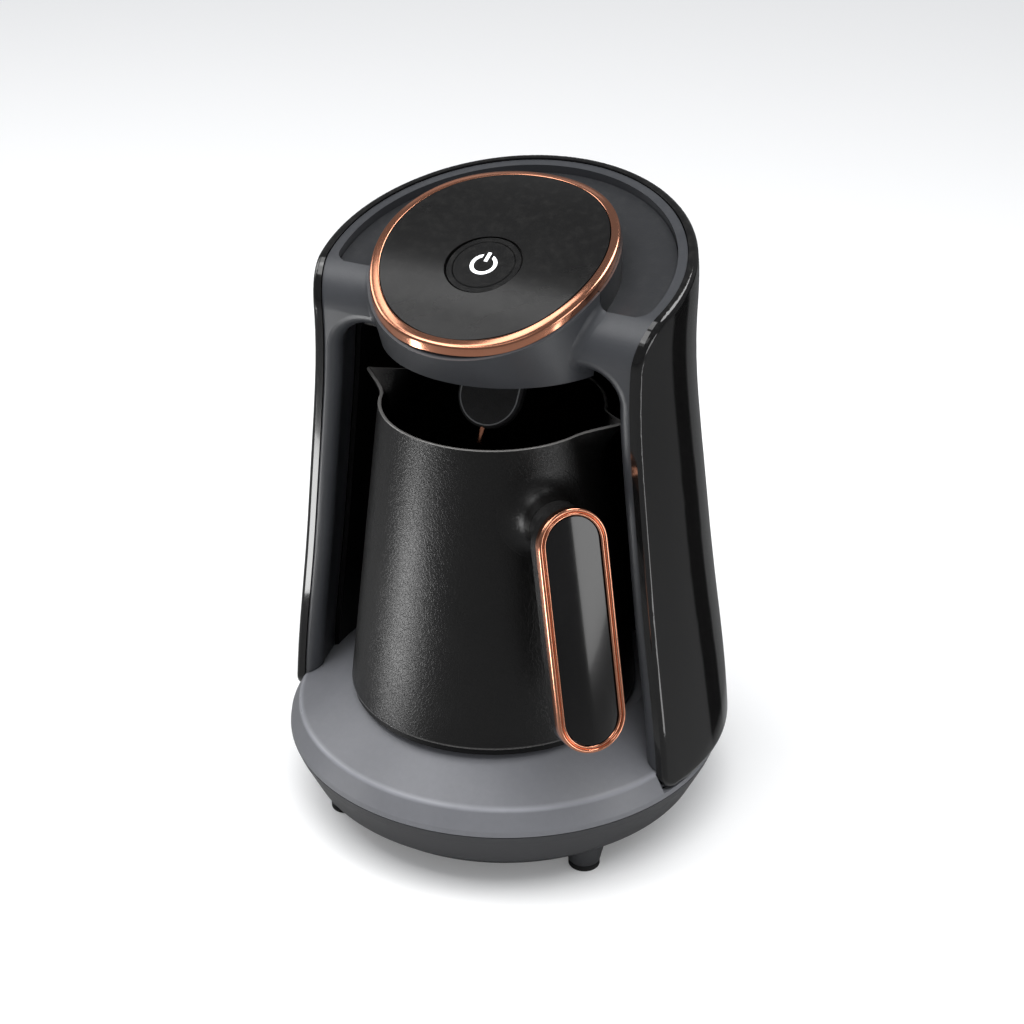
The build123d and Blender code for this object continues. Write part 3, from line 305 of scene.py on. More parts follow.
def ring_brushing():
    """Streaks that run round an upright axis."""
    across, along = 2600.0, 2.0     # per metre from the axis, and per radian round it
    g, i, o = new_group("Ring Brushing", [("Vector", VECTOR, None), ("Scale", FLOAT, 1.0)], HEIGHT_AND_MASK)
    x, y, z = axes(g, i["Vector"])
    away = calc(g, "SQRT", calc(g, "ADD", calc(g, "POWER", x, 2.0), calc(g, "POWER", y, 2.0)))
    wound = add(g, "ShaderNodeCombineXYZ", {"X": calc(g, "MULTIPLY", away, across),
                                            "Y": calc(g, "MULTIPLY", calc(g, "ARCTAN2", y, x), along),
                                            "Z": calc(g, "MULTIPLY", z, across)})
    streak = noise(g, wound.outputs[0], i["Scale"], 3.0)
    g.links.new(streak, o["Height"])
    g.links.new(spread(g, streak, 0.3, 0.7), o["Mask"])
    return g


def baked_film():
    """Short wavy threads, as a sprayed non-stick film dries."""
    g, i, o = new_group("Baked Film", [("Vector", VECTOR, None), ("Scale", FLOAT, 320.0)], HEIGHT_AND_MASK)
    coarse, fine = (calc(g, "MULTIPLY", i["Scale"], k) for k in (0.5, 3.0))
    reach = calc(g, "DIVIDE", 1.6, i["Scale"])
    bend = add(g, "ShaderNodeTexNoise", {"Vector": i["Vector"], "Scale": coarse, "Detail": 2.0})
    push = add(g, "ShaderNodeVectorMath", {0: bend.outputs["Color"], "Scale": reach}, operation="SCALE")
    bent = add(g, "ShaderNodeVectorMath", {0: i["Vector"], 1: push.outputs[0]}, operation="ADD")
    cells = add(g, "ShaderNodeTexVoronoi", {"Vector": bent.outputs[0], "Scale": i["Scale"]},
                feature="DISTANCE_TO_EDGE")
    threads = spread(g, cells.outputs["Distance"], 0.0, 0.10, 1.0, 0.0)
    soft = noise(g, i["Vector"], fine)
    g.links.new(calc(g, "ADD", calc(g, "MULTIPLY", threads, 0.7), soft), o["Height"])
    g.links.new(threads, o["Mask"])
    return g


# ---------------------------------------------------------------- finishes
EFFECTS = {}
MATS = {}


class Finish:
    """One material: a Principled shader and what feeds it."""

    def __init__(self, name, color, rough, metallic=0.0, **sockets):
        self.mat = MATS[name] = bpy.data.materials.new(name)
        self.mat.use_nodes = True
        self.tree = self.mat.node_tree
        self.bsdf = self.tree.nodes["Principled BSDF"]
        self.bsdf.inputs["Base Color"].default_value = (*color, 1)
        self.bsdf.inputs["Roughness"].default_value = rough
        self.bsdf.inputs["Metallic"].default_value = metallic
        for key, v in sockets.items():
            self.bsdf.inputs[key.replace("_", " ")].default_value = v
        self.coord = self.tree.nodes.new("ShaderNodeTexCoord").outputs["Object"]

    def place(self, shift=(0, 0, 0), scale=(1, 1, 1)):
        """The piece's coordinates, shifted and scaled."""
        return add(self.tree, "ShaderNodeMapping",
                   {"Vector": self.coord, "Location": shift, "Scale": scale}).outputs[0]

    def effect(self, name, **inputs):
        """What a shared effect gives, on the piece's own coordinates unless told otherwise."""
        inputs = {"Vector": self.coord, **inputs}
        return add(self.tree, "ShaderNodeGroup", inputs, node_tree=EFFECTS[name]).outputs

    def feed(self, socket, out):
        self.tree.links.new(out, self.bsdf.inputs[socket])

    def fed(self, socket):
        """What feeds a socket so far."""
        return self.bsdf.inputs[socket].links[0].from_socket

    def tint(self, mask, color):
        """Another colour where the mask is."""
        self.feed("Base Color", mix(self.tree, mask, self.fed("Base Color"), color))

    def roughen(self, mask, change):
        """Rougher where the mask is, or smoother for a change below zero."""
        step = calc(self.tree, "MULTIPLY", mask, change)
        self.feed("Roughness", calc(self.tree, "ADD", self.fed("Roughness"), step, clamp=True))

    def bump(self, height, strength, depth):
        relief = add(self.tree, "ShaderNodeBump", {"Height": height, "Strength": strength, "Distance": depth})
        self.feed("Normal", relief.outputs[0])


def plastic(name, color, rough, grain, depth, uneven, dust, **sockets):
    """Moulded plastic with grain, uneven gloss and a trace of dust; no depth leaves its relief out."""
    f = Finish(name, color, rough, **sockets)
    t = f.tree
    grit = f.effect("grain", Scale=grain)
    gloss = f.effect("gloss", Roughness=rough, Amount=uneven)
    tone = mix(t, gloss["Mask"], shade(color, 0.93), shade(color, 1.07))
    tone = mix(t, calc(t, "MULTIPLY", grit["Mask"], 0.12), tone, shade(color, 0.75))
    f.feed("Base Color", f.effect("dust", Amount=dust, Color=tone)["Color"])
    f.feed("Roughness", gloss["Roughness"])
    if depth:
        f.bump(grit["Height"], depth, 0.00012)
    return f


def base_plastic(s):
    """Slate plastic, smoother and paler along the crest of the base's shoulder; the paler tone is a painted
    highlight.
    """
    crest_z, near, far = 0.0402, 0.0002, 0.0010
    f = plastic("slate_plastic", s.slate, s.slate_gloss, 1500.0, 0.22, 0.08, 0.05)
    t = f.tree
    off = calc(t, "ABSOLUTE", calc(t, "SUBTRACT", axes(t, f.coord)["Z"], crest_z))
    highlight_patchiness = spread(t, noise(t, f.coord, 45.0, 3.0), 0.25, 0.75, 0.55, 1.0)
    crest_highlight = calc(t, "MULTIPLY", spread(t, off, far, near), highlight_patchiness)
    # painted highlight: the crest is tinted paler, in patches, to stand in for the light line along the
    # shoulder
    f.tint(calc(t, "MULTIPLY", crest_highlight, 0.75), shade(s.slate, 2.1))
    f.roughen(crest_highlight, -0.10)


def foot_plastic(s):
    """Moulded foot with a rubber pad at its sole."""
    pad_top, pad_edge = 0.0026, 0.0023
    f = plastic("foot_plastic", shade(s.slate, 0.42), 0.45, 1500.0, 0.22, 0.08, 0.0)
    pad = spread(f.tree, axes(f.tree, f.coord)["Z"], pad_top, pad_edge)
    f.tint(pad, (0.006, 0.006, 0.006))
    f.roughen(pad, 0.2)


def arm_plastic():
    """Plastic of the sensing arm, under the same threaded film as the pot."""
    f = plastic("arm_plastic", (0.030, 0.0293, 0.0293), 0.42, 420.0, 0.0, 0.08, 0.0)
    f.bump(f.effect("film", Scale=560.0)["Height"], 0.7, 0.00016)


def plain_plastics(s):
    """Plastics and coatings by colour, roughness, grain scale and depth, unevenness of gloss, and dust."""
    plastic("graphite_plastic", s.graphite, s.slate_gloss, 1500.0, 0.22, 0.08, 0.04)
    plastic("graphite_cover", shade(s.graphite, 0.48), s.slate_gloss, 1500.0, 0.22, 0.08, 0.03)
    # painted shade: the pan below the parting line is a fifth as bright as the slate above, standing in for
    # the shade on its downward faces
    plastic("slate_pan_painted_shade", shade(s.slate, 0.20), s.slate_gloss, 1500.0, 0.25, 0.08, 0.02)
    plastic("satin_panel", shade(s.panel, 0.6), 0.28, 2200.0, 0.10, 0.05, 0.03)
    plastic("bay_black", (0.0028, 0.0027, 0.0028), 0.5, 1300.0, 0.2, 0.08, 0.0, Specular_IOR_Level=0.3)
    plastic("core_black", (0.011, 0.0107, 0.0107), 0.24, 1300.0, 0.08, 0.08, 0.02, Coat_Weight=0.25)
    # painted highlight: the bead round the arm is pale grey to stand in for the light line along the arm's
    # edge
    plastic("bead_painted_highlight", (0.34, 0.34, 0.345), 0.24, 1300.0, 0.08, 0.05, 0.0, Coat_Weight=0.4)
    plastic("part_black", (0.016, 0.016, 0.017), 0.4, 1200.0, 0.2, 0.08, 0.0)
    plastic("rubber_black", (0.014, 0.014, 0.0145), 0.68, 800.0, 0.35, 0.1, 0.03)
    plastic("silicone_grey", (0.09, 0.09, 0.095), 0.55, 800.0, 0.2, 0.08, 0.0)
    plastic("ceramic_white", (0.62, 0.60, 0.55), 0.5, 1200.0, 0.15, 0.06, 0.0)
    plastic("board_lacquer", (0.012, 0.075, 0.035), 0.32, 700.0, 0.25, 0.1, 0.0, Coat_Weight=0.4)
    plastic("relay_case", (0.018, 0.035, 0.16), 0.4, 1200.0, 0.15, 0.05, 0.0)
    plastic("coil_wrap", (0.42, 0.30, 0.04), 0.45, 500.0, 0.3, 0.08, 0.0)


def polished_plastic(name, color, rough):
    """Polished plastic: hairline swirl, faint cloth haze and a clear top layer."""
    f = Finish(name, color, rough, Coat_Weight=0.35, Coat_Roughness=0.04)
    gloss = f.effect("gloss", Roughness=rough, Amount=0.04, Scale=9.0)
    tone = mix(f.tree, gloss["Mask"], color, shade(color, 1.5))
    f.feed("Base Color", f.effect("dust", Amount=0.05, Color=tone)["Color"])
    f.feed("Roughness", gloss["Roughness"])
    f.bump(noise(f.tree, f.place(scale=(60, 60, 900)), 1.0), 0.012, 0.0002)


def plated_copper(name, color, rough):
    """Plated copper, warmer in patches."""
    f = Finish(name, color, rough, metallic=1.0, Coat_Weight=0.15, Coat_Roughness=0.08)
    gloss = f.effect("gloss", Roughness=rough, Amount=0.07, Scale=40.0)
    warmer = tuple(c * k for c, k in zip(color, (0.93, 0.84, 0.78)))
    f.feed("Base Color", mix(f.tree, gloss["Mask"], color, warmer))
    f.feed("Roughness", gloss["Roughness"])
    return f


def copper_finishes(s):
    """Copper turned on a lathe for the panel's ring, and plain for the other trims."""
    ring = plated_copper("copper_ring", s.copper, 0.17)
    mid = node_mid("panel_ring")
    turned = ring.effect("brush", Vector=ring.place(shift=(-mid.x, -mid.y, 0)), Scale=1.0)
    ring.bump(turned["Height"], 0.04, 0.0001)
    trim = plated_copper("copper_trim", s.copper, 0.16)
    trim.bump(trim.effect("grain", Scale=1100.0)["Height"], 0.04, 0.0001)


def bare_metal(name, color, rough):
    """Uncoated metal with a fine grain."""
    f = Finish(name, color, rough, metallic=1.0)
    gloss = f.effect("gloss", Roughness=rough, Amount=0.14, Scale=60.0)
    f.feed("Base Color", mix(f.tree, gloss["Mask"], color, shade(color, 0.82)))
    f.feed("Roughness", gloss["Roughness"])
    f.bump(f.effect("grain", Scale=1600.0)["Height"], 0.15, 0.0001)


def pot_coating(s):
    """Baked coating of the pot, paler and glossier where it turns over the rim and the foot; the paler tone
    is a painted highlight.
    """
    rough, rim_z = 0.36, 0.164
    f = Finish("pot_coating", s.coating, rough)
    t = f.tree
    film = f.effect("film", Scale=780.0)
    gloss = f.effect("gloss", Roughness=rough, Amount=0.08, Scale=22.0)
    f.feed("Base Color", mix(t, gloss["Mask"], s.coating, shade(s.coating, 1.25)))
    f.feed("Roughness", gloss["Roughness"])
    f.tint(calc(t, "MULTIPLY", film["Mask"], 0.35), shade(s.coating, 1.6))
    f.roughen(film["Mask"], -0.07)
    height = axes(t, f.coord)["Z"]
    rim = calc(t, "MULTIPLY", spread(t, normal_z(t), 0.30, 0.60), spread(t, height, rim_z, rim_z + 0.002))
    foot = spread(t, height, POT_SOLE + 0.0010, POT_SOLE + 0.0005)
    edge_highlight = calc(t, "MAXIMUM", rim, calc(t, "MULTIPLY", foot, 0.45))
    # painted highlight: the rim's upper faces and the foot edge are tinted pale to stand in for the light
    # lines along them
    f.tint(edge_highlight, (0.16, 0.155, 0.15))
    f.roughen(edge_highlight, -0.20)
    f.feed("Coat Weight", calc(t, "MULTIPLY", edge_highlight, 0.8))
    f.bump(film["Height"], 0.40, 0.00010)


def lit_icon():
    """Icon of the button, lit from behind."""
    f = Finish("icon_white", (0.86, 0.87, 0.88), 0.4, Emission_Strength=0.55)
    grit = f.effect("grain", Scale=1800.0)
    glow = mix(f.tree, grit["Mask"], (0.93, 0.95, 1.0), (1.0, 1.0, 1.0))
    f.feed("Base Color", glow)
    f.feed("Emission Color", glow)
    f.bump(grit["Height"], 0.1, 0.0001)


def make_finishes(s):
    """Every finish of the object."""
    EFFECTS.update(grain=moulded_grain(), gloss=uneven_gloss(), dust=settled_dust(), brush=ring_brushing(),
                   film=baked_film())
    base_plastic(s)
    foot_plastic(s)
    arm_plastic()
    plain_plastics(s)
    polished_plastic("gloss_black", s.shell, s.shell_gloss)
    polished_plastic("insert_black", s.shell, 0.11)
    polished_plastic("button_black", s.shell, 0.17)
    copper_finishes(s)
    bare_metal("steel_plain", (0.60, 0.59, 0.57), 0.28)
    bare_metal("brass_contact", (0.80, 0.62, 0.30), 0.25)
    bare_metal("spring_wire", (0.55, 0.55, 0.56), 0.22)
    bare_metal("cast_aluminium", (0.62, 0.62, 0.62), 0.48)
    bare_metal("element_tube", (0.40, 0.38, 0.36), 0.42)
    pot_coating(s)
    lit_icon()


FINISH_OF = {
    "slate_plastic": ["base_ring"],
    "graphite_plastic": ["front_frame"],
    "graphite_cover": ["top_cover"],
    "slate_pan_painted_shade": ["base_pan"],
    "gloss_black": ["rear_shell"],
    "insert_black": ["handle_insert"],
    "button_black": ["power_button", "button_bezel"],
    "satin_panel": ["top_panel"],
    "copper_ring": ["panel_ring"],
    "copper_trim": ["handle_ring", "probe_pin"],
    "pot_coating": ["pot_vessel"],
    "core_black": ["handle_core"],
    "bay_black": ["bay_liner", "head_floor", "pot_base_cover"],
    "arm_plastic": ["sensor_arm"],
    "part_black": ["sensor_back", "base_connector", "pot_socket", "button_stem", "buzzer", "tact_switch"],
    "foot_plastic": ["foot_front_right", "foot_back_right", "foot_back_left", "foot_front_left"],
    "rubber_black": ["cord_gland"],
    "silicone_grey": ["connector_seal"],
    "icon_white": ["icon_guide"],
    "ceramic_white": ["icon_led", "thermostat"],
    "steel_plain": ["hinge_pin", "pan_screw_a", "pan_screw_b", "pan_screw_c", "board_screw_left",
                    "board_screw_right", "power_screw_left", "power_screw_right", "pot_screw_a",
                    "pot_screw_b", "pot_screw_c", "handle_screw"],
    "brass_contact": ["centre_contact", "ring_contact", "socket_pin"],
    "spring_wire": ["button_spring"],
    "cast_aluminium": ["heater_plate"],
    "element_tube": ["heating_element"],
    "board_lacquer": ["control_board", "power_board"],
    "relay_case": ["power_relay"],
    "coil_wrap": ["transformer"],
}


class DressCadNodes(bpy.types.Operator):
    """Gives every moulded and fitted part its finish."""
    bl_idname = "coffee.dress_nodes"
    bl_label = "Dress the parts"

    def execute(self, context):
        make_finishes(context.scene.coffee_finish)
        for finish, names in FINISH_OF.items():
            for name in names:
                slots = NODES[name].data.materials
                for k in range(len(slots)):
                    slots[k] = MATS[finish]
        return {"FINISHED"}


# ---------------------------------------------------------------- stage
# boxes that show in reflections: turn and rise from their aim in degrees, distance, size and glow
SHINES = {
    "top_shine": (-46, 57, 1.1, (0.70, 0.42), 3.2),
    "panel_shine": (-86, 68, 1.0, (0.34, 0.34), 2.5),
    "left_shine": (-88, 30, 1.1, (0.44, 0.50), 2.9),
    "back_shine": (-143, 40, 1.1, (0.40, 0.22), 0.25),
    "front_shine": (4, 47, 1.15, (0.95, 0.24), 0.7),
    "right_shine": (140, 63, 1.1, (0.60, 0.44), 5.6),
}


def direction(turn, rise):
    """The way to something turned from the front towards the right, and raised."""
    return Vector((sin(turn) * cos(rise), -cos(turn) * cos(rise), sin(rise)))


class BuildStage(bpy.types.Operator):
    """Sets the floor, the room, the softboxes and the camera."""
    bl_idname = "coffee.build_stage"
    bl_label = "Build the stage"

    def softbox(self, name, turn, rise, away, size, glow, shine=True, aim=(0, 0, 0.13)):
        """An area light that faces its aim, and either shows in reflections or lights the set."""
        way = direction(radians(turn), radians(rise))
        bpy.ops.object.light_add(type="AREA", location=Vector(aim) + way * away)
        lamp = bpy.context.object
        lamp.name = name
        lamp.rotation_euler = (-way).to_track_quat("-Z", "Y").to_euler()
        lamp.data.shape = "RECTANGLE"
        lamp.data.size, lamp.data.size_y = size
        lamp.data.energy = glow * pi * size[0] * size[1]
        lamp.visible_camera = False
        lamp.visible_diffuse = not shine
        lamp.visible_glossy = shine
        return lamp

    def floor_strip(self, name, turn, away, size, glow, aim):
        """A softbox that lies near the floor and faces up."""
        lamp = self.softbox(name, turn, 0, away, size, glow, aim=aim)
        lamp.rotation_euler = (pi, 0, radians(turn))

    def lights(self, s):
        overhead = self.softbox("overhead", 2, 73, 1.15, (1.1, 0.8), 1.0, shine=False)
        overhead.data.energy = s.key
        self.softbox("left_fill", -88, 40, 1.2, (0.7, 0.5), 1.5, shine=False)
        self.softbox("right_fill", 84, 52, 1.2, (0.6, 0.5), 1.9, shine=False)
        for name, values in SHINES.items():
            self.softbox(name, *values)
        self.softbox("right_card", 87, 3, 0.92, (0.44, 0.26), 3.0, aim=(0.06, -0.06, 0.13))
        self.floor_strip("pot_strip", -47, 0.42, (0.085, 0.46), 10.3, (0, -0.013, 0.004))
        self.floor_strip("edge_strip", 85, 0.33, (0.055, 0.40), 3.5, (0.068, -0.029, 0.004))

    def floor(self, s):
        """A pale floor; reflections see it dimmed by cloths, with a dark strip behind the right side."""
        bpy.ops.mesh.primitive_plane_add(size=14.0, location=(0, 0, 0))
        floor = bpy.context.object
        floor.name = "studio_floor"
        f = Finish("studio_floor", s.floor, 0.75, Specular_IOR_Level=0.2)
        t = f.tree
        pale = mix(t, noise(t, f.coord, 1.5), s.floor, shade(s.floor, 0.985))
        x, y = axes(t, f.coord)[:2]
        shell_x, strip_turn, strip_edge, strip_end = 0.07, radians(156.0), radians(9.0), radians(11.5)
        turn = calc(t, "ARCTAN2", calc(t, "SUBTRACT", x, shell_x), calc(t, "MULTIPLY", y, -1.0))
        side = calc(t, "ABSOLUTE", turn)
        off_strip = calc(t, "ABSOLUTE", calc(t, "SUBTRACT", side, strip_turn))
        strip = spread(t, off_strip, strip_edge, strip_end)
        level = spread(t, side, radians(105.0), radians(145.0), 0.21, 0.12)
        cloth = mix(t, strip, (0.02, 0.02, 0.02), (1.0, 1.0, 1.0))
        cloth = mix(t, level, (0.0, 0.0, 0.0), cloth)
        away = add(t, "ShaderNodeVectorMath", {0: f.coord}, operation="LENGTH").outputs["Value"]
        cloth = mix(t, spread(t, away, 0.105, 0.135), (0.40, 0.40, 0.40), cloth)
        reflected = t.nodes.new("ShaderNodeLightPath").outputs["Is Glossy Ray"]
        f.feed("Base Color", mix(t, reflected, pale, cloth))
        f.feed("Emission Color", mix(t, reflected, pale, (0.0, 0.0, 0.0)))
        f.bsdf.inputs["Emission Strength"].default_value = 0.16
        floor.data.materials.append(f.mat)

    def room(self, s):
        """Even light, dimmer in reflections."""
        in_reflections = 0.16
        world = bpy.data.worlds.new("studio_world")
        world.use_nodes = True
        t = world.node_tree
        back = t.nodes["Background"]
        back.inputs[0].default_value = (0.95, 0.97, 1.0, 1)
        reflected = t.nodes.new("ShaderNodeLightPath").outputs["Is Glossy Ray"]
        t.links.new(spread(t, reflected, 0, 1, s.fill, in_reflections), back.inputs[1])
        bpy.context.scene.world = world

    def camera(self, s):
        aim = Vector((0.0, node_mid("base_pan").y, 0.12086))
        picture, right, down = 1024, 7.1, 1.7       # width and shifts of the picture, in pixels
        out = direction(s.azimuth, s.elevation)
        bpy.ops.object.camera_add(location=aim + out * s.distance)
        cam = bpy.context.object
        cam.rotation_euler = (-out).to_track_quat("-Z", "Y").to_euler()
        cam.data.sensor_width, cam.data.lens = 36.0, s.lens
        cam.data.shift_x, cam.data.shift_y = right / picture, -down / picture
        cam.data.clip_start = 0.01
        bpy.context.scene.camera = cam

    def execute(self, context):
        s = context.scene.coffee_stage
        self.floor(s)
        self.room(s)
        self.lights(s)
        self.camera(s)
        context.scene.view_settings.view_transform = "Standard"
        return {"FINISHED"}


# ---------------------------------------------------------------- modelling helpers
def select_only(obj):
    bpy.ops.object.select_all(action="DESELECT")
    obj.select_set(True)
    bpy.context.view_layer.objects.active = obj


def fresh(kind, name, **values):
    """A new primitive, alone in the selection."""
    bpy.ops.object.select_all(action="DESELECT")
    getattr(bpy.ops.mesh, kind)(**values)
    obj = bpy.context.object
    obj.name = obj.data.name = name
    return obj


def pick(obj, mode, test):
    """Selects the elements for which test says yes, and nothing else; leaves the object in edit mode."""
    bpy.context.view_layer.objects.active = obj
    if obj.mode != "EDIT":
        bpy.ops.object.mode_set(mode="EDIT")
    bpy.ops.mesh.select_mode(type=mode)
    bpy.ops.mesh.select_all(action="DESELECT")
    bpy.ops.object.mode_set(mode="OBJECT")
    items = {"VERT": obj.data.vertices, "EDGE": obj.data.edges, "FACE": obj.data.polygons}[mode]
    for e in items:
        e.select = test(e)
    bpy.ops.object.mode_set(mode="EDIT")


def object_mode():
    if bpy.context.object and bpy.context.object.mode != "OBJECT":
        bpy.ops.object.mode_set(mode="OBJECT")


def cut_upright_edges(obj, cuts):
    """Splits the edges that run up a cylinder with open ends."""
    def upright(e):
        low, high = (obj.data.vertices[i].co.z for i in e.vertices)
        return abs(low - high) > 0.01

    pick(obj, "EDGE", upright)
    bpy.ops.mesh.subdivide(number_cuts=cuts)
    object_mode()


def face_outwards(obj):
    select_only(obj)
    bpy.ops.object.mode_set(mode="EDIT")
    bpy.ops.mesh.select_all(action="SELECT")
    bpy.ops.mesh.normals_make_consistent(inside=False)
    object_mode()


def apply_modifier(obj, kind, **values):
    select_only(obj)
    m = obj.modifiers.new(kind.lower(), kind)
    for key, v in values.items():
        setattr(m, key, v)
    bpy.ops.object.modifier_apply(modifier=m.name)


def finish_piece(obj, body, mat, slot, *nodes, angle=40.0):
    """Smooths and dresses a piece, seats it on a body given by name or else only bakes its transform, and
    hides the nodes it stands in for.
    """
    object_mode()
    select_only(obj)
    bpy.ops.object.transform_apply(location=True, rotation=True, scale=True)
    bpy.ops.object.shade_smooth_by_angle(angle=radians(angle))
    obj.data.materials.clear()
    obj.data.materials.append(MATS[mat])
    if isinstance(body, str):
        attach(obj, body)
    else:
        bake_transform(obj)
    if nodes:
        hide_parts(*nodes)


# ---------------------------------------------------------------- pot
def handle_ways(s):
    """The ways out to the handle and along its width."""
    return direction(s.boss_angle, 0), Vector((cos(s.boss_angle), sin(s.boss_angle), 0))


def wall_radius(s, z):
    """Outside radius of the pot's wall at a height."""
    slope = (s.foot_radius - s.rim_radius) / (s.rim_height - POT_SOLE)
    return s.foot_radius - slope * (z - POT_SOLE)


def lip_pull(t):
    """The share of a lip's reach at the share t of its half width, rounded at its middle."""
    if t > 0.06:
        return (1 - t) ** 1.75
    return 0.94 ** 1.75 * (1.065 - 1.05 * t * t)


def make_wall(s):
    """Tapered wall with a pouring lip on each side."""
    tall = s.rim_height - POT_SOLE
    wall = fresh("primitive_cylinder_add", "pot_wall", vertices=300, radius=s.foot_radius, depth=tall,
                 end_fill_type="NOTHING", location=(0, 0, POT_SOLE + tall / 2))
    bpy.ops.object.transform_apply(location=True)
    cut_upright_edges(wall, 96)
    for v in wall.data.vertices:
        k = min(max((v.co.z - POT_SOLE) / tall, 0.0), 1.0)
        k = 1 - (1 - k) ** 1.25                 # rows lie closer together towards the rim
        z = POT_SOLE + k * tall
        a = atan2(v.co.y, v.co.x)
        off = abs(a) if abs(a) < pi / 2 else pi - abs(a)
        d = (z - s.rim_height + s.lip_depth) / s.lip_depth
        out = 0.0
        if d > 0:
            width = s.lip_angle * max(d, 0.02) ** 0.55      # narrower further down the wall
            pull = lip_pull(min(off / width, 1.0))
            out = s.lip_reach * d ** 2.7 * pull
            z += s.lip_rise * d ** 6 * pull
        r = wall_radius(s, min(z, s.rim_height)) + out
        v.co = (r * cos(a), POT_AXIS.y + r * sin(a), z)
    apply_modifier(wall, "SOLIDIFY", thickness=s.wall, offset=-1.0, use_even_offset=True)
    apply_modifier(wall, "BEVEL", width=0.00042, segments=3, limit_method="ANGLE", angle_limit=radians(55))
    return wall


def make_floor(s):
    """Floor with a rounded corner, let into the wall."""
    top, thick, corner = 0.0724, 0.0026, 0.0040
    inside = wall_radius(s, top)
    floor = fresh("primitive_cylinder_add", "pot_floor", vertices=180, radius=inside - 0.0007, depth=thick,
                  location=(0, POT_AXIS.y, top - thick / 2))
    pick(floor, "FACE", lambda f: f.normal.z > 0.9)
    bpy.ops.mesh.inset(thickness=0.0045)        # corner
    bpy.ops.mesh.inset(thickness=0.006)         # step, let down a little
    bpy.ops.transform.translate(value=(0, 0, -0.0002))
    bpy.ops.mesh.inset(thickness=0.030)         # flat
    object_mode()
    for v in floor.data.vertices:
        if v.co.z > 0 and hypot(v.co.x, v.co.y) > inside - 0.0012:
            v.co.z += corner
    return floor


def make_neck(s):
    """Neck of the handle: a flare that grows tangent out of the wall, closed at its outer end."""
    out, side = handle_ways(s)
    mid = POT_AXIS + Vector((0, 0, s.boss_height))
    length, rise, straight = 0.0084, 0.0056, 0.0040     # whole neck, its flare and its straight stretch
    end = wall_radius(s, s.boss_height) + length
    tucked, flared, level = 0.03, 0.86, 0.97    # shares of the rows: under the wall, flare, flat end
    neck = fresh("primitive_cylinder_add", "pot_neck", vertices=128, radius=1.0, depth=1.0,
                 end_fill_type="NOTHING", location=(0, 0, 0))
    cut_upright_edges(neck, 26)
    for v in neck.data.vertices:
        k, a = v.co.z + 0.5, atan2(v.co.y, v.co.x)
        if k < tucked:
            d, up = s.neck_radius + s.flare + 0.0012, -0.0006
        elif k < flared:
            q = (k - tucked) / (flared - tucked) * pi / 2
            d, up = s.neck_radius + s.flare * (1 - sin(q)), rise * (1 - cos(q))
        else:
            d, up = s.neck_radius, rise + straight * (k - flared) / (1 - flared)
        x, y = d * cos(a), d * sin(a)
        reach = sqrt(wall_radius(s, s.boss_height + y) ** 2 - x * x) + up
        if k > flared:
            reach += (end - reach) * min((k - flared) / (level - flared), 1.0)
        v.co = mid + side * x + out * reach + Vector((0, 0, y))

    def at_end(e):
        return all((neck.data.vertices[i].co - POT_AXIS).dot(out) > end - 1e-5 for i in e.vertices)

    pick(neck, "EDGE", at_end)
    bpy.ops.mesh.extrude_edges_move()
    bpy.ops.transform.resize(value=(0.25, 0.25, 0.25), center_override=mid + out * end)
    bpy.ops.mesh.fill()
    object_mode()
    return neck


class MakePot(bpy.types.Operator):
    """Draws the pot with its two pouring lips and the flared boss of the handle."""
    bl_idname = "coffee.make_pot"
    bl_label = "Make the pot"

    def execute(self, context):
        s = context.scene.coffee_pot
        pot, floor, neck = make_wall(s), make_floor(s), make_neck(s)
        bpy.ops.object.select_all(action="DESELECT")
        for o in (floor, neck, pot):
            o.select_set(True)
        context.view_layer.objects.active = pot
        bpy.ops.object.join()
        face_outwards(pot)
        finish_piece(pot, "pot", "pot_coating", "pot_vessel", "pot_vessel", angle=50.0)
        return {"FINISHED"}


# ---------------------------------------------------------------- rings
# sections in millimetres: out from the ring's outer side, and up from its face, from the outer flank
# over the top to the inside
PANEL_SECTION = [(0, -2.6), (0, -1.3), (-0.03, -0.95), (-0.14, -0.66), (-0.34, -0.42), (-0.62, -0.26),
                 (-1.0, -0.17), (-1.5, -0.11), (-2.1, -0.07), (-2.6, -0.04), (-2.98, -0.03), (-3.2, -0.06),
                 (-3.34, -0.16), (-3.4, -0.35), (-3.4, -1.2), (-3.4, -3.6), (-1.9, -3.7), (0, -3.7)]
GRIP_SECTION = [(0, -2.2), (0, -1.1), (-0.04, -0.75), (-0.15, -0.42), (-0.34, -0.16), (-0.58, -0.03),
                (-0.8, 0), (-1.02, -0.03), (-1.22, -0.14), (-1.36, -0.32), (-1.44, -0.50), (-1.54, -0.60),
                (-1.64, -0.56), (-1.72, -0.44), (-1.82, -0.28), (-1.98, -0.15), (-2.18, -0.10),
                (-2.38, -0.14), (-2.56, -0.26), (-2.7, -0.46), (-2.78, -0.75), (-2.8, -1.1), (-2.8, -3.2),
                (0, -3.2)]


def shape_ring(name, turns, section, place):
    """A closed ring with the given section; place(step, out, up) gives each point."""
    n = len(section)
    ring = fresh("primitive_torus_add", name, major_segments=turns, minor_segments=n, major_radius=1.0,
                 minor_radius=0.25)
    for v in ring.data.vertices:
        step = round(atan2(v.co.y, v.co.x) / (2 * pi) * turns) % turns
        k = round(atan2(v.co.z, hypot(v.co.x, v.co.y) - 1.0) / (2 * pi) * n) % n
        v.co = place(step, section[k][0] * MM, section[k][1] * MM)
    return ring


